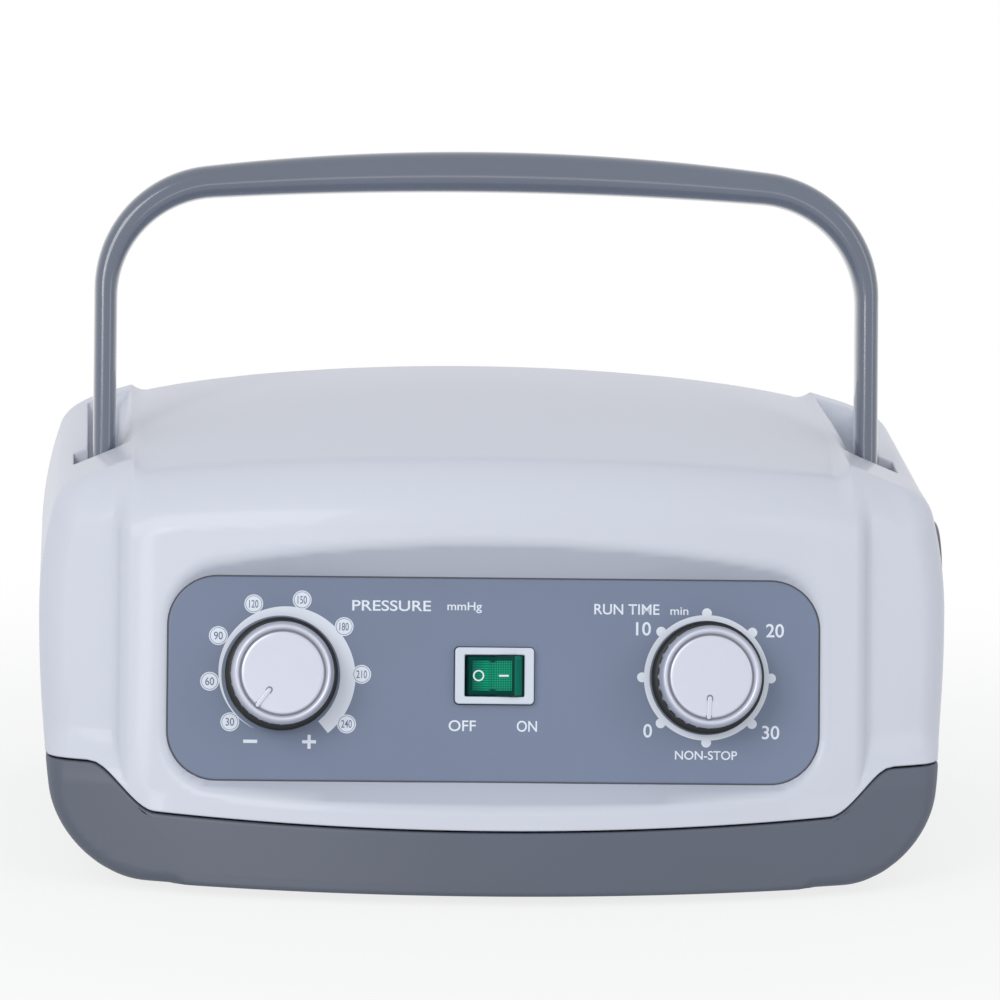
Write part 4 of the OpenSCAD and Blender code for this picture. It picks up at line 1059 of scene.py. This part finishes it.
@dataclass
class LowerHousing(ShellGrid):
    """Grey lower tray with its vents and screw recesses."""

    @classmethod
    def drawn(cls, form: BodyForm) -> "LowerHousing":
        """Returns the tray with its lines packed at its vents and corners."""
        half = spread((0, 66, 3.3), (66, 82, 2.0), (82, 90, 1.0), (90, 97.3, 0.9))
        slits = 10.0 * np.arange(-3, 4)[:, None] + np.array([-1.55, -1.45, 1.45, 1.55])
        vents = form.vent_x + slits.ravel()
        xs = np.unique(np.round(np.concatenate([-half, half, vents]), 3))
        ys = np.unique(np.concatenate([
            spread((-84, -52, 4.0), (-52, -36, 0.35), (-36, 58, 5.0), (58, 84, 1.0)),
            4 + np.array([-17.1, -16.9, 16.9, 17.1])]))
        return cls(form, xs, ys, fan_rows=34, wall_rows=14, rim_r=0.9, gap=0.28, front_turn=24.0)

    def surface(self) -> Surface:
        """Returns the closed tray."""
        form = self.form
        x, y = np.meshgrid(self.xs, self.ys)
        bow = x ** 2 / (2 * form.bow_r)
        inset = 14 * ease((np.abs(x) - 70) / 27.3)
        y = y + (bow + inset) * np.clip((-52 - y) / 32, 0, 1)
        y = y - inset * np.clip((y - 48) / 36, 0, 1)
        down = np.array([0.0, 0.0, -1.0])
        base = np.stack([x, y, np.full_like(x, 14.0)], -1).reshape(-1, 3)
        cap = form.cast(base, np.broadcast_to(down, base.shape), 40).reshape(*x.shape, 3)
        j, i = self.border()
        bx, by = x[j, i], y[j, i]
        side = ease((np.abs(bx) - 72) / 25.3)
        low = 8.5 + 19.0 * side
        ways = self.outward(bx, by, np.full_like(bx, y[0, -1]), np.full_like(bx, 72.0))
        start = np.column_stack([bx, by, low])
        rim = [0.0, 0.12, 0.4]
        return self.assemble(cap, self.rays(start, ways, down, -1, rim), -1, len(rim))


@dataclass
class Casing:
    """The two shells and the feet on the body."""

    form: BodyForm
    foot_d: float = 14.0
    foot_x: float = 72.0
    foot_y: tuple[float, float] = (-56.0, 50.0)

    def build(self) -> None:
        """Builds the shells and the feet."""
        upper = UpperHousing.drawn(self.form).surface()
        add_piece("upper_shell", upper, WHITE, replaces=("upper_housing",))
        lower = LowerHousing.drawn(self.form).surface()
        add_piece("lower_tray", lower, TRAY, replaces=("lower_housing",))
        self.feet()

    def feet(self) -> None:
        """Rubber feet with a rounded edge and a shallow cup underneath."""
        r = self.foot_d / 2
        profile = fillet_profile([(0, 0.5, 0), (r - 3, 0.5, 0.5), (r - 2.4, 0, 0.3), (r - 1, 0, 0.8),
                                  (r, 1.6, 0.8), (r, 3.6, 0.2), (0, 3.6, 0)])
        meshes = [revolve(profile, 64).placed(LEVEL.shifted(x, y)).mesh("foot")
                  for x in (-self.foot_x, self.foot_x) for y in self.foot_y]
        feet = merge("rubber_feet_set", meshes)
        add_piece("rubber_feet_set", feet, RUBBER, replaces=("rubber_feet",))


@dataclass
class Outlet:
    """Round collar of the air outlet on the right side."""

    form: BodyForm
    radius: float = 17.0
    out: float = 3.3
    bore: float = 12.5
    floor: float = -1.4

    def build(self) -> None:
        """Builds the collar as a turned ring with a rounded rim and a floor round the nozzles."""
        x = self.form.half_width
        place = Place((x, *self.form.outlet), (0, 1, 0), (0, 0, 1), (1, 0, 0))
        r, out, bore = self.radius, self.out, self.bore
        profile = fillet_profile([
            (0, -2.5, 0), (13.0, -2.5, 0.2), (13.0, -0.6, 0.1), (r, -0.6, 0.1), (r, out - 1.2, 0.6),
            (r - 1.4, out, 0.9), (bore + 0.9, out, 0.5), (bore, out - 0.9, 0.5), (bore, self.floor, 0.5),
            (0, self.floor, 0)])
        ring = revolve(profile, 128).placed(place)
        add_piece("outlet_collar_ring", ring, COLLAR, replaces=("outlet_collar",))


@dataclass
class Handle:
    """The bail: two legs, round corners and a crowned grip."""

    form: BodyForm
    pivot_y: float = -8.0
    pivot_z: float = 82.0
    leg_in: float = 100.7
    leg_out: float = 107.0
    eye_r: float = 6.5
    grip_in: float = 96.1
    grip_out: float = 107.2
    corner_in: float = 27.5
    corner_out: float = 34.0
    crown_out: float = 620.0
    crown_in: float = 1150.0
    depth: float = 6.5
    section_power: float = 0.74

    def edge(self, half: float, top: float, r: float, crown: float, rows: tuple[int, int, int]) -> Array:
        """Half of one edge of the bail in its own plane.

        Formula: a straight leg, an arc of the corner's radius that meets it squarely, and an arc
        of the crown's radius that meets the corner and is level in the middle.

        Args:
            half: Distance of the leg from the middle.
            top: Height of the crown's middle above the pivot.
            r: Radius of the corner.
            crown: Radius of the crown.
            rows: Count of points on the leg, the corner and the crown.

        Returns:
            Points from the pivot to the middle of the crown, across and up.
        """
        cx = half - r
        cy = top - crown + math.sqrt((crown - r) ** 2 - cx ** 2)
        end = math.acos(cx / (crown - r))
        leg = np.column_stack([np.full(rows[0], half), np.linspace(0, cy, rows[0] + 1)[:-1]])
        a = np.linspace(0, end, rows[1] + 1)[:-1]
        corner = np.column_stack([cx + r * np.cos(a), cy + r * np.sin(a)])
        b = np.linspace(end, math.pi / 2, rows[2])
        arch = np.column_stack([crown * np.cos(b), top - crown + crown * np.sin(b)])
        return np.vstack([leg, corner, arch])

    def surface(self) -> Surface:
        """Sweeps an oval section along the bail.

        Formula: between matching points of the outer and the inner edge the section is a
        superellipse, as deep as the bail; below the pivots the depth closes in a half circle.

        Returns:
            The closed surface in the bail's own plane: across, up and forward.
        """
        rows = (26, 26, 60)
        outer = self.edge(self.leg_out, self.grip_out, self.corner_out, self.crown_out, rows)
        inner = self.edge(self.leg_in, self.grip_in, self.corner_in, self.crown_in, rows)
        s = self.eye_r * np.sin(np.linspace(-math.pi / 2, 0, 12)[1:-1])
        outer = np.vstack([np.column_stack([np.full_like(s, self.leg_out), s]), outer])
        inner = np.vstack([np.column_stack([np.full_like(s, self.leg_in), s]), inner])
        deep = np.full(len(outer), self.depth)
        deep[:len(s)] = np.sqrt(self.eye_r ** 2 - s ** 2)
        mirror = np.array([-1, 1])
        outer = np.vstack([outer, outer[-2::-1] * mirror])
        inner = np.vstack([inner, inner[-2::-1] * mirror])
        deep = np.concatenate([deep, deep[-2::-1]])
        a = np.arange(56) * 2 * math.pi / 56
        power = self.section_power
        ca = np.sign(np.cos(a)) * np.abs(np.cos(a)) ** power
        sa = np.sign(np.sin(a)) * np.abs(np.sin(a)) ** power
        middle, reach = (outer + inner) / 2, (outer - inner) / 2
        ring = middle[:, None] + reach[:, None] * ca[:, None]
        verts = np.concatenate([ring, (deep[:, None] * sa)[..., None]], -1)
        count = verts.shape[1]
        quads = grid_faces(len(verts), count, closed=True)
        verts = verts.reshape(-1, 3)
        tris = []
        poles = []
        for row, sense in ((0, -1), (len(outer) - 1, 1)):
            loop = row * count + np.arange(count)
            poles.append(verts[loop].mean(0))
            pole = np.full(count, len(verts) + len(poles) - 1)
            tris.append(np.stack([loop, np.roll(loop, -1), pole][::sense], -1))
        return Surface(np.vstack([verts, poles]), quads, np.vstack(tris))

    def build(self) -> None:
        """Builds the handle, leaning back at its front stop."""
        place = Place.leaning((0, self.pivot_y, self.pivot_z), self.form.handle_lean)
        mesh = self.surface().placed(place).mesh("carry_handle")
        add_piece("carry_handle", recalculated(mesh), HANDLE, "handle_bail", ("handle",))


def recalculated(mesh: bpy.types.Mesh) -> bpy.types.Mesh:
    """Merges a closed mesh's doubles and turns its faces outwards."""
    work = bmesh.new()
    work.from_mesh(mesh)
    bmesh.ops.remove_doubles(work, verts=work.verts, dist=1e-7)
    bmesh.ops.recalc_face_normals(work, faces=work.faces)
    work.to_mesh(mesh)
    work.free()
    return mesh


@dataclass
class ControlPanel:
    """Slate panel with its printed scales and words."""

    form: BodyForm
    width: float = 173.0
    height: float = 53.9
    corner: float = 13.0
    thick: float = 2.0
    offset: float = -1.15
    dial_u: float = 56.55
    ink: float = 0.04
    bush_r: float = 4.65

    def build(self) -> None:
        """Builds the plate and its print."""
        place = self.form.panel_place()
        left, right = place.shifted(-self.dial_u, 0), place.shifted(self.dial_u, 0)
        bushes = [circle(self.bush_r, 48, (u, 0)) for u in (-self.dial_u, self.dial_u)]
        outlines = [self.border(0.0), rounded_rect(19.1, 13.1, 0.5, 3), *bushes]
        panel = plate(outlines, -self.thick, 0, place, 0.35, "front_panel")
        add_piece("front_panel", panel, SLATE, replaces=("control_panel",))
        # Painted shadow: a black sheet just behind the panel's face that shows in the gap round it as a dark
        # line.
        gap_shadow = plate([self.border(0.4), self.border(-1.5)], -1.0, -0.22, place, 0.05, "panel_painted_gap_shadow")
        add_piece("panel_painted_gap_shadow", gap_shadow, BLACK)
        white = self.pressure_scale(left) + self.time_scale(right) + self.words(place)
        add_piece("panel_print", merge("panel_print", white), PRINT)
        dark = self.disc_numbers(left)
        add_piece("scale_numbers", merge("scale_numbers", dark), PRINT_DARK)

    def border(self, grow: float) -> Array:
        """The panel's outline, grown on every side."""
        outline = rounded_rect(self.width + 2 * grow, self.height + 2 * grow, self.corner + grow, 24)
        return outline + np.array([0, self.offset])

    def patch(self, outlines: list[Array], place: Place, lift: float = 0.0) -> bpy.types.Mesh:
        """A printed patch, with its top a little higher where it lies over another."""
        return plate(outlines, -self.ink, self.ink + lift, place)

    def disc_spots(self) -> list[tuple[str, float, float]]:
        """Numbers of the pressure scale with their places, evenly round the dial."""
        steps = np.arange(8)
        a = np.radians(223.5 - 37.2 * steps)
        r = 18.6 + 3.2 * steps / 7
        spots = around(a) * r[:, None]
        return [(str(30 * (k + 1)), float(spots[k, 0]), float(spots[k, 1])) for k in steps]

    def pressure_scale(self, place: Place) -> list[bpy.types.Mesh]:
        """Crescent that widens clockwise, discs for the numbers, minus and plus."""
        turn = np.linspace(0, 294, 150)
        a = np.radians(243.5 - turn)
        thick = np.interp(turn, [0, 63, 108, 153, 198, 243, 294], [0.05, 0.75, 1.45, 2.4, 3.4, 4.1, 4.05])
        ways = around(a)
        inner = ways * 15.75 + np.array([-0.1, -0.26])
        outer = inner + ways * thick[:, None]
        meshes = [self.patch([np.vstack([outer, inner[::-1]])], place)]
        meshes += [self.patch([circle(2.5, 40, (u, w))], place, 0.01) for _, u, w in self.disc_spots()]
        strokes = ((-8.05, 3.7, 0.87, 0.0), (7.55, 3.7, 0.87, 0.0), (7.55, 0.87, 3.7, 0.005))
        for u, across, up, lift in strokes:
            stroke = rounded_rect(across, up, 0.05, 2) + np.array([u, -17.9])
            meshes.append(self.patch([stroke], place, lift))
        return meshes

    def disc_numbers(self, place: Place) -> list[bpy.types.Mesh]:
        """Thin rings and numbers in the panel's colour on the white discs."""
        meshes = []
        for words, u, w in self.disc_spots():
            spot = place.shifted(u, w)
            meshes.append(plate([circle(2.2, 40), circle(2.06, 40)], 0, self.ink + 0.03, spot))
            wide = 0.66 if len(words) > 2 else 0.85
            meshes.append(text_mesh(words, 2.05, spot, self.ink, 0.06, wide, 0.02))
        return meshes

    def time_scale(self, place: Place) -> list[bpy.types.Mesh]:
        """Ring round the timer with eight round marks and four numbers."""
        meshes = [self.patch([circle(16.7, 128), circle(15.2, 128)], place)]
        spots = 17.2 * around(np.radians(np.arange(0, 360, 45)))
        meshes += [self.patch([circle(1.32, 28, spot)], place, 0.01) for spot in spots]
        numbers = (("10", -16.9, 12.9), ("20", 18.2, 12.7), ("0", -15.6, -14.2), ("30", 17.2, -14.4))
        for words, u, w in numbers:
            meshes.append(text_mesh(words, 3.5, place.shifted(u, w), 0, 2 * self.ink, 1.0, 0.06))
        meshes.append(text_mesh("NON-STOP", 2.3, place.shifted(0, -20.6), 0, 2 * self.ink, 1.0, 0.04))
        return meshes

    def words(self, place: Place) -> list[bpy.types.Mesh]:
        """Plain words for the two dials and the switch's two states."""
        rows = (("PRESSURE", 2.75, -27.4, 18.4, 1.25, 0.04), ("mmHg", 2.2, -8.0, 18.1, 1.1, 0.03),
                ("RUN TIME", 2.75, 35.2, 18.0, 1.0, 0.04), ("min", 2.2, 49.2, 17.7, 1.1, 0.03),
                ("OFF", 2.85, -8.4, -13.3, 1.04, 0.035), ("ON", 2.85, 8.8, -13.3, 0.88, 0.035))
        return [text_mesh(words, size, place.shifted(u, w), 0, 2 * self.ink, wide, bold)
                for words, size, u, w, wide, bold in rows]


@dataclass
class Dial:
    """One dial: a black skirt under a fluted silver cap with a pointer."""

    label: str
    place: Place
    pointer: float
    skirt_r: float = 15.0
    cap_r: float = 13.6
    height: float = 15.5
    flutes: int = 28
    flute_depth: float = 0.75

    def build(self) -> None:
        """Builds the skirt, the cap and the pointer, and puts them on the dial's body."""
        body = f"{self.label}_dial"
        r, inner = self.skirt_r, self.cap_r - 0.6
        profile = fillet_profile([
            (9.5, 0.9, 0), (9.5, 0.8, 0), (r - 0.3, 0.8, 0.3), (r, 1.6, 0.3), (r, 4.6, 0.5),
            (r - 0.9, 5.6, 0.5), (inner, 5.8, 0.1), (inner, 5.0, 0), (0, 5.0, 0)])
        skirt = recalculated(revolve(profile, 128).placed(self.place).mesh("skirt"))
        add_piece(f"{self.label}_skirt_ring", skirt, SKIRT, body,
                  (f"{self.label}_dial_skirt",))
        cap = recalculated(self.cap().placed(self.place).mesh("cap"))
        add_piece(f"{self.label}_cap_shell", cap, CAP, body, (f"{self.label}_dial_cap",))
        turned, top = self.place.spun(self.pointer), self.height
        bar = rounded_rect(1.15, 6.1, 0.55, 6) + np.array([0, -8.25])
        ridge = plate([bar], top - 1.0, top - 0.18, turned, 0.2)
        add_piece(f"{self.label}_pointer_ridge", ridge, CAP, body)
        # Painted shade: dark sheets just proud of the disc, a rim round the pointer ridge and a thin ring at
        # the disc's edge, for the shadow lines there.
        bed = rounded_rect(1.75, 6.3, 0.85, 8) + np.array([0, -7.9])
        lines = merge("lines", [
            plate([bed], top - 1.0, top - 0.635, turned, 0.02),
            plate([circle(11.2, 96), circle(10.75, 96)], top - 1.2, top - 0.9, turned, 0.02)])
        add_piece(f"{self.label}_cap_painted_shade_lines", lines, PAINTED_GROOVE_SHADE, body)

    def cap(self) -> Surface:
        """Silver cap: fluted flank, round rim, sloping inner wall and a raised disc."""
        top, r = self.height, self.cap_r
        flank = [(r, h, 0.0) for h in np.linspace(6.0, top - 2.6, 9)]
        profile = fillet_profile([
            (0, 5.2, 0), (r - 0.15, 5.2, 0.1), *flank, (r - 0.15, top - 1.6, 0.6),
            (r - 0.75, top - 0.45, 0.6), (r - 1.25, top, 0.45), (r - 1.8, top - 0.2, 0.35),
            (r - 2.5, top - 1.25, 0.25), (10.95, top - 1.3, 0.1), (10.8, top - 0.75, 0.12),
            (10.3, top - 0.62, 0.3), (0, top - 0.66, 0)], 6)
        fade = np.clip((top - 2.9 - profile[:, 1]) / 3.2, 0, 1) * (profile[:, 0] > r - 1.4)
        return revolve(profile, self.flutes * 12, self.flutes, ease(fade) * self.flute_depth)


@dataclass
class Switch:
    """Rocker switch: bezel, body, green rocker with a dotted lens, and its marks."""

    place: Place
    width: float = 21.0
    height: float = 15.0
    face: float = 2.0
    opening: tuple[float, float] = (15.9, 11.1)
    body: tuple[float, float, float] = (18.8, 12.8, 17.0)
    pivot: float = -1.0
    swing: float = 20.0
    top_half: float = 6.05
    foot_half: float = 7.5
    half_h: float = 5.25
    crest: float = 2.9
    dot_pitch: float = 0.64
    dot_height: float = 0.12

    def build(self) -> None:
        """Builds the fixed frame and the moving rocker."""
        hole = rounded_rect(*self.opening, 0.35, 4)
        frame = rounded_rect(self.width, self.height, 1.1, 8)
        bezel = plate([frame, hole], 0.02, self.face, self.place, 0.35)
        block, back = rounded_rect(self.body[0], self.body[1], 0.8, 4), -self.body[2]
        housing = plate([block, hole], back + 1, 0.1, self.place, 0.1)
        base = plate([block], back, back + 1.1, self.place, 0.1)
        fixed = merge("switch_bezel", [bezel, housing, base])
        add_piece("switch_bezel", fixed, BEZEL, replaces=("switch_frame",))
        # Painted shadow: a thin black ring under the bezel that shows as a dark outline round it, where there
        # is only shade.
        under = rounded_rect(self.width + 0.5, self.height + 0.5, 1.3, 8)
        shadow_ring = plate([under, hole], -0.1, 0.12, self.place, 0.03)
        add_piece("switch_painted_shadow_ring", shadow_ring, RUBBER)
        tilted = self.place.shifted(0, 0, self.pivot).tilted(self.swing / 2)
        shell = self.shell().placed(tilted)
        add_piece("rocker_shell", shell, ROCKER, "rocker", ("switch_rocker",))
        surface, crest = self.lens()
        lens = surface.placed(tilted).mesh("rocker_lens")
        # The crest attribute carries the strength of the painted glow and painted highlights to the lens
        # finish.
        lens.attributes.new("crest", "FLOAT", "POINT").data.foreach_set("value", crest.astype(np.float32))
        add_piece("rocker_lens", lens, LENS, "rocker")
        add_piece("rocker_marks", merge("rocker_marks", self.marks(tilted)), PRINT, "rocker")
        # Painted shade in a darker copy of the rocker's green: the border round the lens, the pressed end and
        # the wedges over the pivots.
        dark = [self.painted_shade_border().placed(tilted).mesh("painted_shade_border"), *self.pivot_gap_shade(tilted)]
        add_piece("rocker_painted_shade", merge("rocker_painted_shade", dark), PAINTED_SHADE_GREEN, "rocker")

    def top(self, u: Array) -> Array:
        """Height of the rocker's top: two facets that rise from the middle, with a soft valley."""
        return self.crest + math.tan(math.radians(self.swing / 2)) * (np.sqrt(u ** 2 + 0.16) - 0.4)

    def shell(self) -> Surface:
        """Rocker body.

        Formula: columns run up an end, over a slanted facet, along the top and down again; rows
        drop at both sides over a rounded edge.

        Returns:
            The closed surface.
        """
        foot, top = self.foot_half, self.top_half
        end = np.array([[foot - 1.3, -6.0], [foot - 0.1, -3.5], [foot + 0.35, -1.0], [foot + 0.2, 0.5],
                        [foot, 1.75], [foot - 0.08, 2.05], [foot - 0.3, 2.25], [top + 0.2, self.crest + 0.88],
                        [top, self.crest + 1.0]])
        inner = np.linspace(-top + 0.3, top - 0.3, 41)
        us = np.concatenate([-end[:, 0], inner, end[::-1, 0]])
        zs = np.concatenate([end[:, 1], self.top(inner), end[::-1, 1]])
        drop = np.array([6.0, 4.0, 2.0, 0.8, 0.35, 0.15, 0.05, 0.0])
        w_edge = self.half_h - np.array([0, 0, 0, 0, 0.06, 0.18, 0.3, 0.45])
        ws = np.concatenate([-w_edge, np.linspace(-w_edge[-1], w_edge[-1], 17)[1:-1], w_edge[::-1]])
        wd = np.concatenate([drop, np.zeros(15), drop[::-1]])
        u, w = np.meshgrid(us, ws)
        return lidded(np.stack([u, w, zs[None, :] - wd[:, None] + 0 * u], -1))

    def lens(self) -> tuple[Surface, Array]:
        """Ribbed and dotted lens laid on the top.

        Formula: the top's height plus a small hill, cos squared across the rows, and on the
        right also cos squared along them.

        Returns:
            A thin raised sheet, closed underneath, and the strength of the painted glow at each of its
            points, strongest on the crests as a painted highlight.
        """
        half_u, half_w = 5.35, 4.05
        n = self.dot_pitch / 6
        us = np.arange(-half_u, half_u + n / 2, n)
        ws = np.arange(-half_w, half_w + n / 2, n)
        u, w = np.meshgrid(us, ws)
        dots = ease((u + 1.6) / 1.2)
        hill = np.cos(np.pi * w / self.dot_pitch) ** 2 * (1 - dots * np.sin(np.pi * u / self.dot_pitch) ** 2)
        border = np.minimum(half_u - np.abs(u), half_w - np.abs(w)) < n * 0.6
        height = self.top(u) + np.where(border, -0.05, 0.05 + self.dot_height * hill)
        # Painted glow and painted highlight: brighter on the crests of the ribs and dots.
        painted_glow = 0.15 + 0.85 * hill ** 1.5
        return lidded(np.stack([u, w, height], -1)), np.append(painted_glow.ravel(), 0.3)

    def painted_shade_border(self) -> Surface:
        """Painted shade: a thin sheet in a darker copy of the rocker's green that follows the top round the
        lens, lies under the lens and runs down the slanted face of the pressed end.
        """
        us = np.concatenate([[-7.4, -7.2, -6.7, -6.25, -6.05], np.linspace(-5.95, 5.95, 41)])
        ws = np.array([-5.22, -5.1, -4.95, -4.8, -2.0, 2.0, 4.8, 4.95, 5.1, 5.22])
        u, w = np.meshgrid(us, ws)
        facet = np.interp(-u, [6.05, 6.25, 7.2, 7.42], [3.9, 3.78, 2.25, 2.05])
        drop = 0.45 * np.clip((np.abs(w) - 4.75) / 0.47, 0, 1) ** 2.5
        return lidded(np.stack([u, w, np.where(u < -6.0, facet, self.top(u)) - drop + 0.05], -1))

    def facet(self, place: Place, u: float, w: float) -> Place:
        """A place on one of the top's facets, turned with its slope."""
        slope = self.swing / 2 * (1 if u > 0 else -1)
        height = float(self.top(np.array(u)))
        return place.shifted(u, w, height).tilted(slope)

    def marks(self, place: Place) -> list[bpy.types.Mesh]:
        """White ring on the left facet and white bar on the right one."""
        ring = plate([circle(1.5, 40), circle(1.1, 40)], 0.0, 0.3, self.facet(place, -3.7, 0), 0.03)
        bar = plate([rounded_rect(2.75, 0.5, 0.1, 3)], 0.0, 0.3, self.facet(place, 3.1, 0), 0.03)
        return [ring, bar]

    def pivot_gap_shade(self, place: Place) -> list[bpy.types.Mesh]:
        """Painted shade: dark wedges over the pivots at the middle of the two long edges."""
        outline = np.array([[-1.5, 0], [1.5, 0], [0.85, -1.15], [-0.85, -1.15]])
        upper = plate([outline + np.array([0, 4.75])], 2.6, 3.1, place, 0.05)
        lower = plate([(outline * np.array([1, -1]))[::-1] + np.array([0, -4.75])], 2.6, 3.1, place, 0.05)
        return [upper, lower]




# ---------------------------------------------------------------- studio

@dataclass
class Studio:
    """Camera at the photograph's angle, soft lamps and a pale floor."""

    azimuth: float = -3.3
    elevation: float = 10.0
    roll: float = 1.18
    distance: float = 1950.0
    target: tuple[float, float, float] = (0.47, -66.0, 104.68)
    focal_px: float = 7383.0
    image_px: float = 1000.0
    sensor: float = 36.0
    sky: float = 0.66
    fade: tuple[float, float] = (0.13, 0.42)

    def camera(self) -> None:
        """Places the camera: it looks back along its own axis at the target, with a little roll."""
        a, e, r = (math.radians(v) for v in (self.azimuth, self.elevation, self.roll))
        back = Vector((math.sin(a) * math.cos(e), -math.cos(a) * math.cos(e), math.sin(e)))
        right = Vector((math.cos(a), math.sin(a), 0))
        up = back.cross(right)
        side = right * math.cos(r) + up * math.sin(r)
        over = up * math.cos(r) - right * math.sin(r)
        spot = (Vector(self.target) + back * self.distance) * MM
        data = bpy.data.cameras.new("camera")
        data.lens = self.focal_px / self.image_px * self.sensor
        data.sensor_width = self.sensor
        data.clip_start, data.clip_end = 0.05, 20.0
        holder = put("camera", data)
        holder.matrix_world = Matrix.Translation(spot) @ Matrix((side, over, back)).transposed().to_4x4()
        bpy.context.scene.camera = holder

    def lamp(self, name: str, spot: tuple[float, float, float], size: tuple[float, float],
             power: float) -> None:
        """Adds one soft lamp that faces the pump.

        Args:
            name: The lamp's name.
            spot: Its place in metres.
            size: Its width and height in metres.
            power: Its power in watts.
        """
        data = bpy.data.lights.new(name, "AREA")
        data.shape = "RECTANGLE"
        data.size, data.size_y = size
        data.energy = power
        holder = put(name, data)
        aim = Vector((0, 0, 0.07)) - Vector(spot)
        holder.location = spot
        holder.rotation_euler = aim.to_track_quat("-Z", "Y").to_euler()

    def world(self) -> None:
        """Soft light from all round, and a white background behind the object."""
        world = bpy.data.worlds.new("studio")
        bpy.context.scene.world = world
        world.use_nodes = True
        graph = Graph(world.node_tree)
        light = world.node_tree.nodes["Background"]
        graph.fill(light, {"Color": (0.93, 0.96, 1.0, 1.0), "Strength": self.sky})
        white = graph.add("Background", {"Color": (1, 1, 1, 1)})
        mixed = graph.add("MixShader", {"Fac": self._seen(graph), 1: light.outputs[0], 2: white})
        graph.fill(world.node_tree.nodes["World Output"], {"Surface": mixed})

    def _seen(self, graph: Graph) -> bpy.types.NodeSocket:
        """Returns 1 for a ray from the camera, and for one that a gloss or a clear piece sends on."""
        path = graph.tree.nodes.new("ShaderNodeLightPath").outputs
        first = graph.add("Math", {0: path["Is Camera Ray"], 1: path["Is Glossy Ray"]}, operation="MAXIMUM")
        return graph.add("Math", {0: first, 1: path["Is Transmission Ray"]}, operation="MAXIMUM")

    def floor(self) -> None:
        """Pale floor that keeps the shadow near the pump and fades to white further out."""
        half = 4.0
        mesh = bpy.data.meshes.new("floor")
        corner = [(-half, -half, 0), (half, -half, 0), (half, half, 0), (-half, half, 0)]
        mesh.from_pydata(corner, [], [(0, 1, 2, 3)])
        made = bpy.data.materials.new("pale_floor")
        made.use_nodes = True
        graph = Graph(made.node_tree)
        shader = made.node_tree.nodes["Principled BSDF"]
        graph.fill(shader, {"Base Color": (0.8, 0.8, 0.8, 1), "Roughness": 0.9, "Specular IOR Level": 0.1})
        away = graph.add("VectorMath", {0: graph.add("TexCoord", {}, "Object")}, "Value", operation="LENGTH")
        span = {"From Min": self.fade[0], "From Max": self.fade[1], "To Min": 0.8, "Value": away}
        fade = graph.add("MapRange", span, interpolation_type="SMOOTHSTEP")
        both = graph.add("Math", {0: fade, 1: self._seen(graph)}, operation="MULTIPLY")
        mixed = graph.add("MixShader", {"Fac": both, 1: shader.outputs[0], 2: graph.add("Emission", {})})
        graph.fill(made.node_tree.nodes["Material Output"], {"Surface": mixed})
        mesh.materials.append(made)
        put("floor", mesh)

    def build(self) -> None:
        """Sets up the camera, the lamps, the background and the floor."""
        self.camera()
        self.world()
        self.floor()
        self.lamp("key", (-0.9, -1.5, 1.0), (0.9, 0.9), 10.3)
        self.lamp("fill", (1.2, -1.1, 0.8), (0.6, 1.0), 2.6)
        self.lamp("strip", (-1.02, -1.41, 0.55), (0.05, 0.4), 0.5)
        self.lamp("low", (0.0, -1.6, 0.12), (0.8, 0.25), 0.8)
        bpy.context.scene.view_settings.view_transform = "Standard"


# ---------------------------------------------------------------- the whole

def dress_frame(frame: dict) -> None:
    """Gives every node of the frame that still shows the finish of its slot.
    """
    slots = {part["node"]: part["material_slot"] for part in frame["record"]["subparts"]}
    for name, node in frame["nodes"].items():
        if not node.hide_render:
            made = SLOT_FINISHES[slots[name]].material()
            for place in node.material_slots:
                place.material = made
            LOG.info("%s keeps its shape, finished as %s", name, made.name)


def main() -> None:
    """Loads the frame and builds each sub-assembly."""
    logging.basicConfig(level=logging.INFO, format="%(name)s %(message)s")
    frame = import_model()
    Studio().build()
    form = BodyForm()
    panel = form.panel_place()
    Casing(form).build()
    ControlPanel(form).build()
    Dial("pressure", panel.shifted(-ControlPanel.dial_u, 0), -37.5).build()
    Dial("timer", panel.shifted(ControlPanel.dial_u, 0), -3.0).build()
    Switch(panel).build()
    Handle(form).build()
    Outlet(form).build()
    dress_frame(frame)


if __name__ == "__main__":
    main()
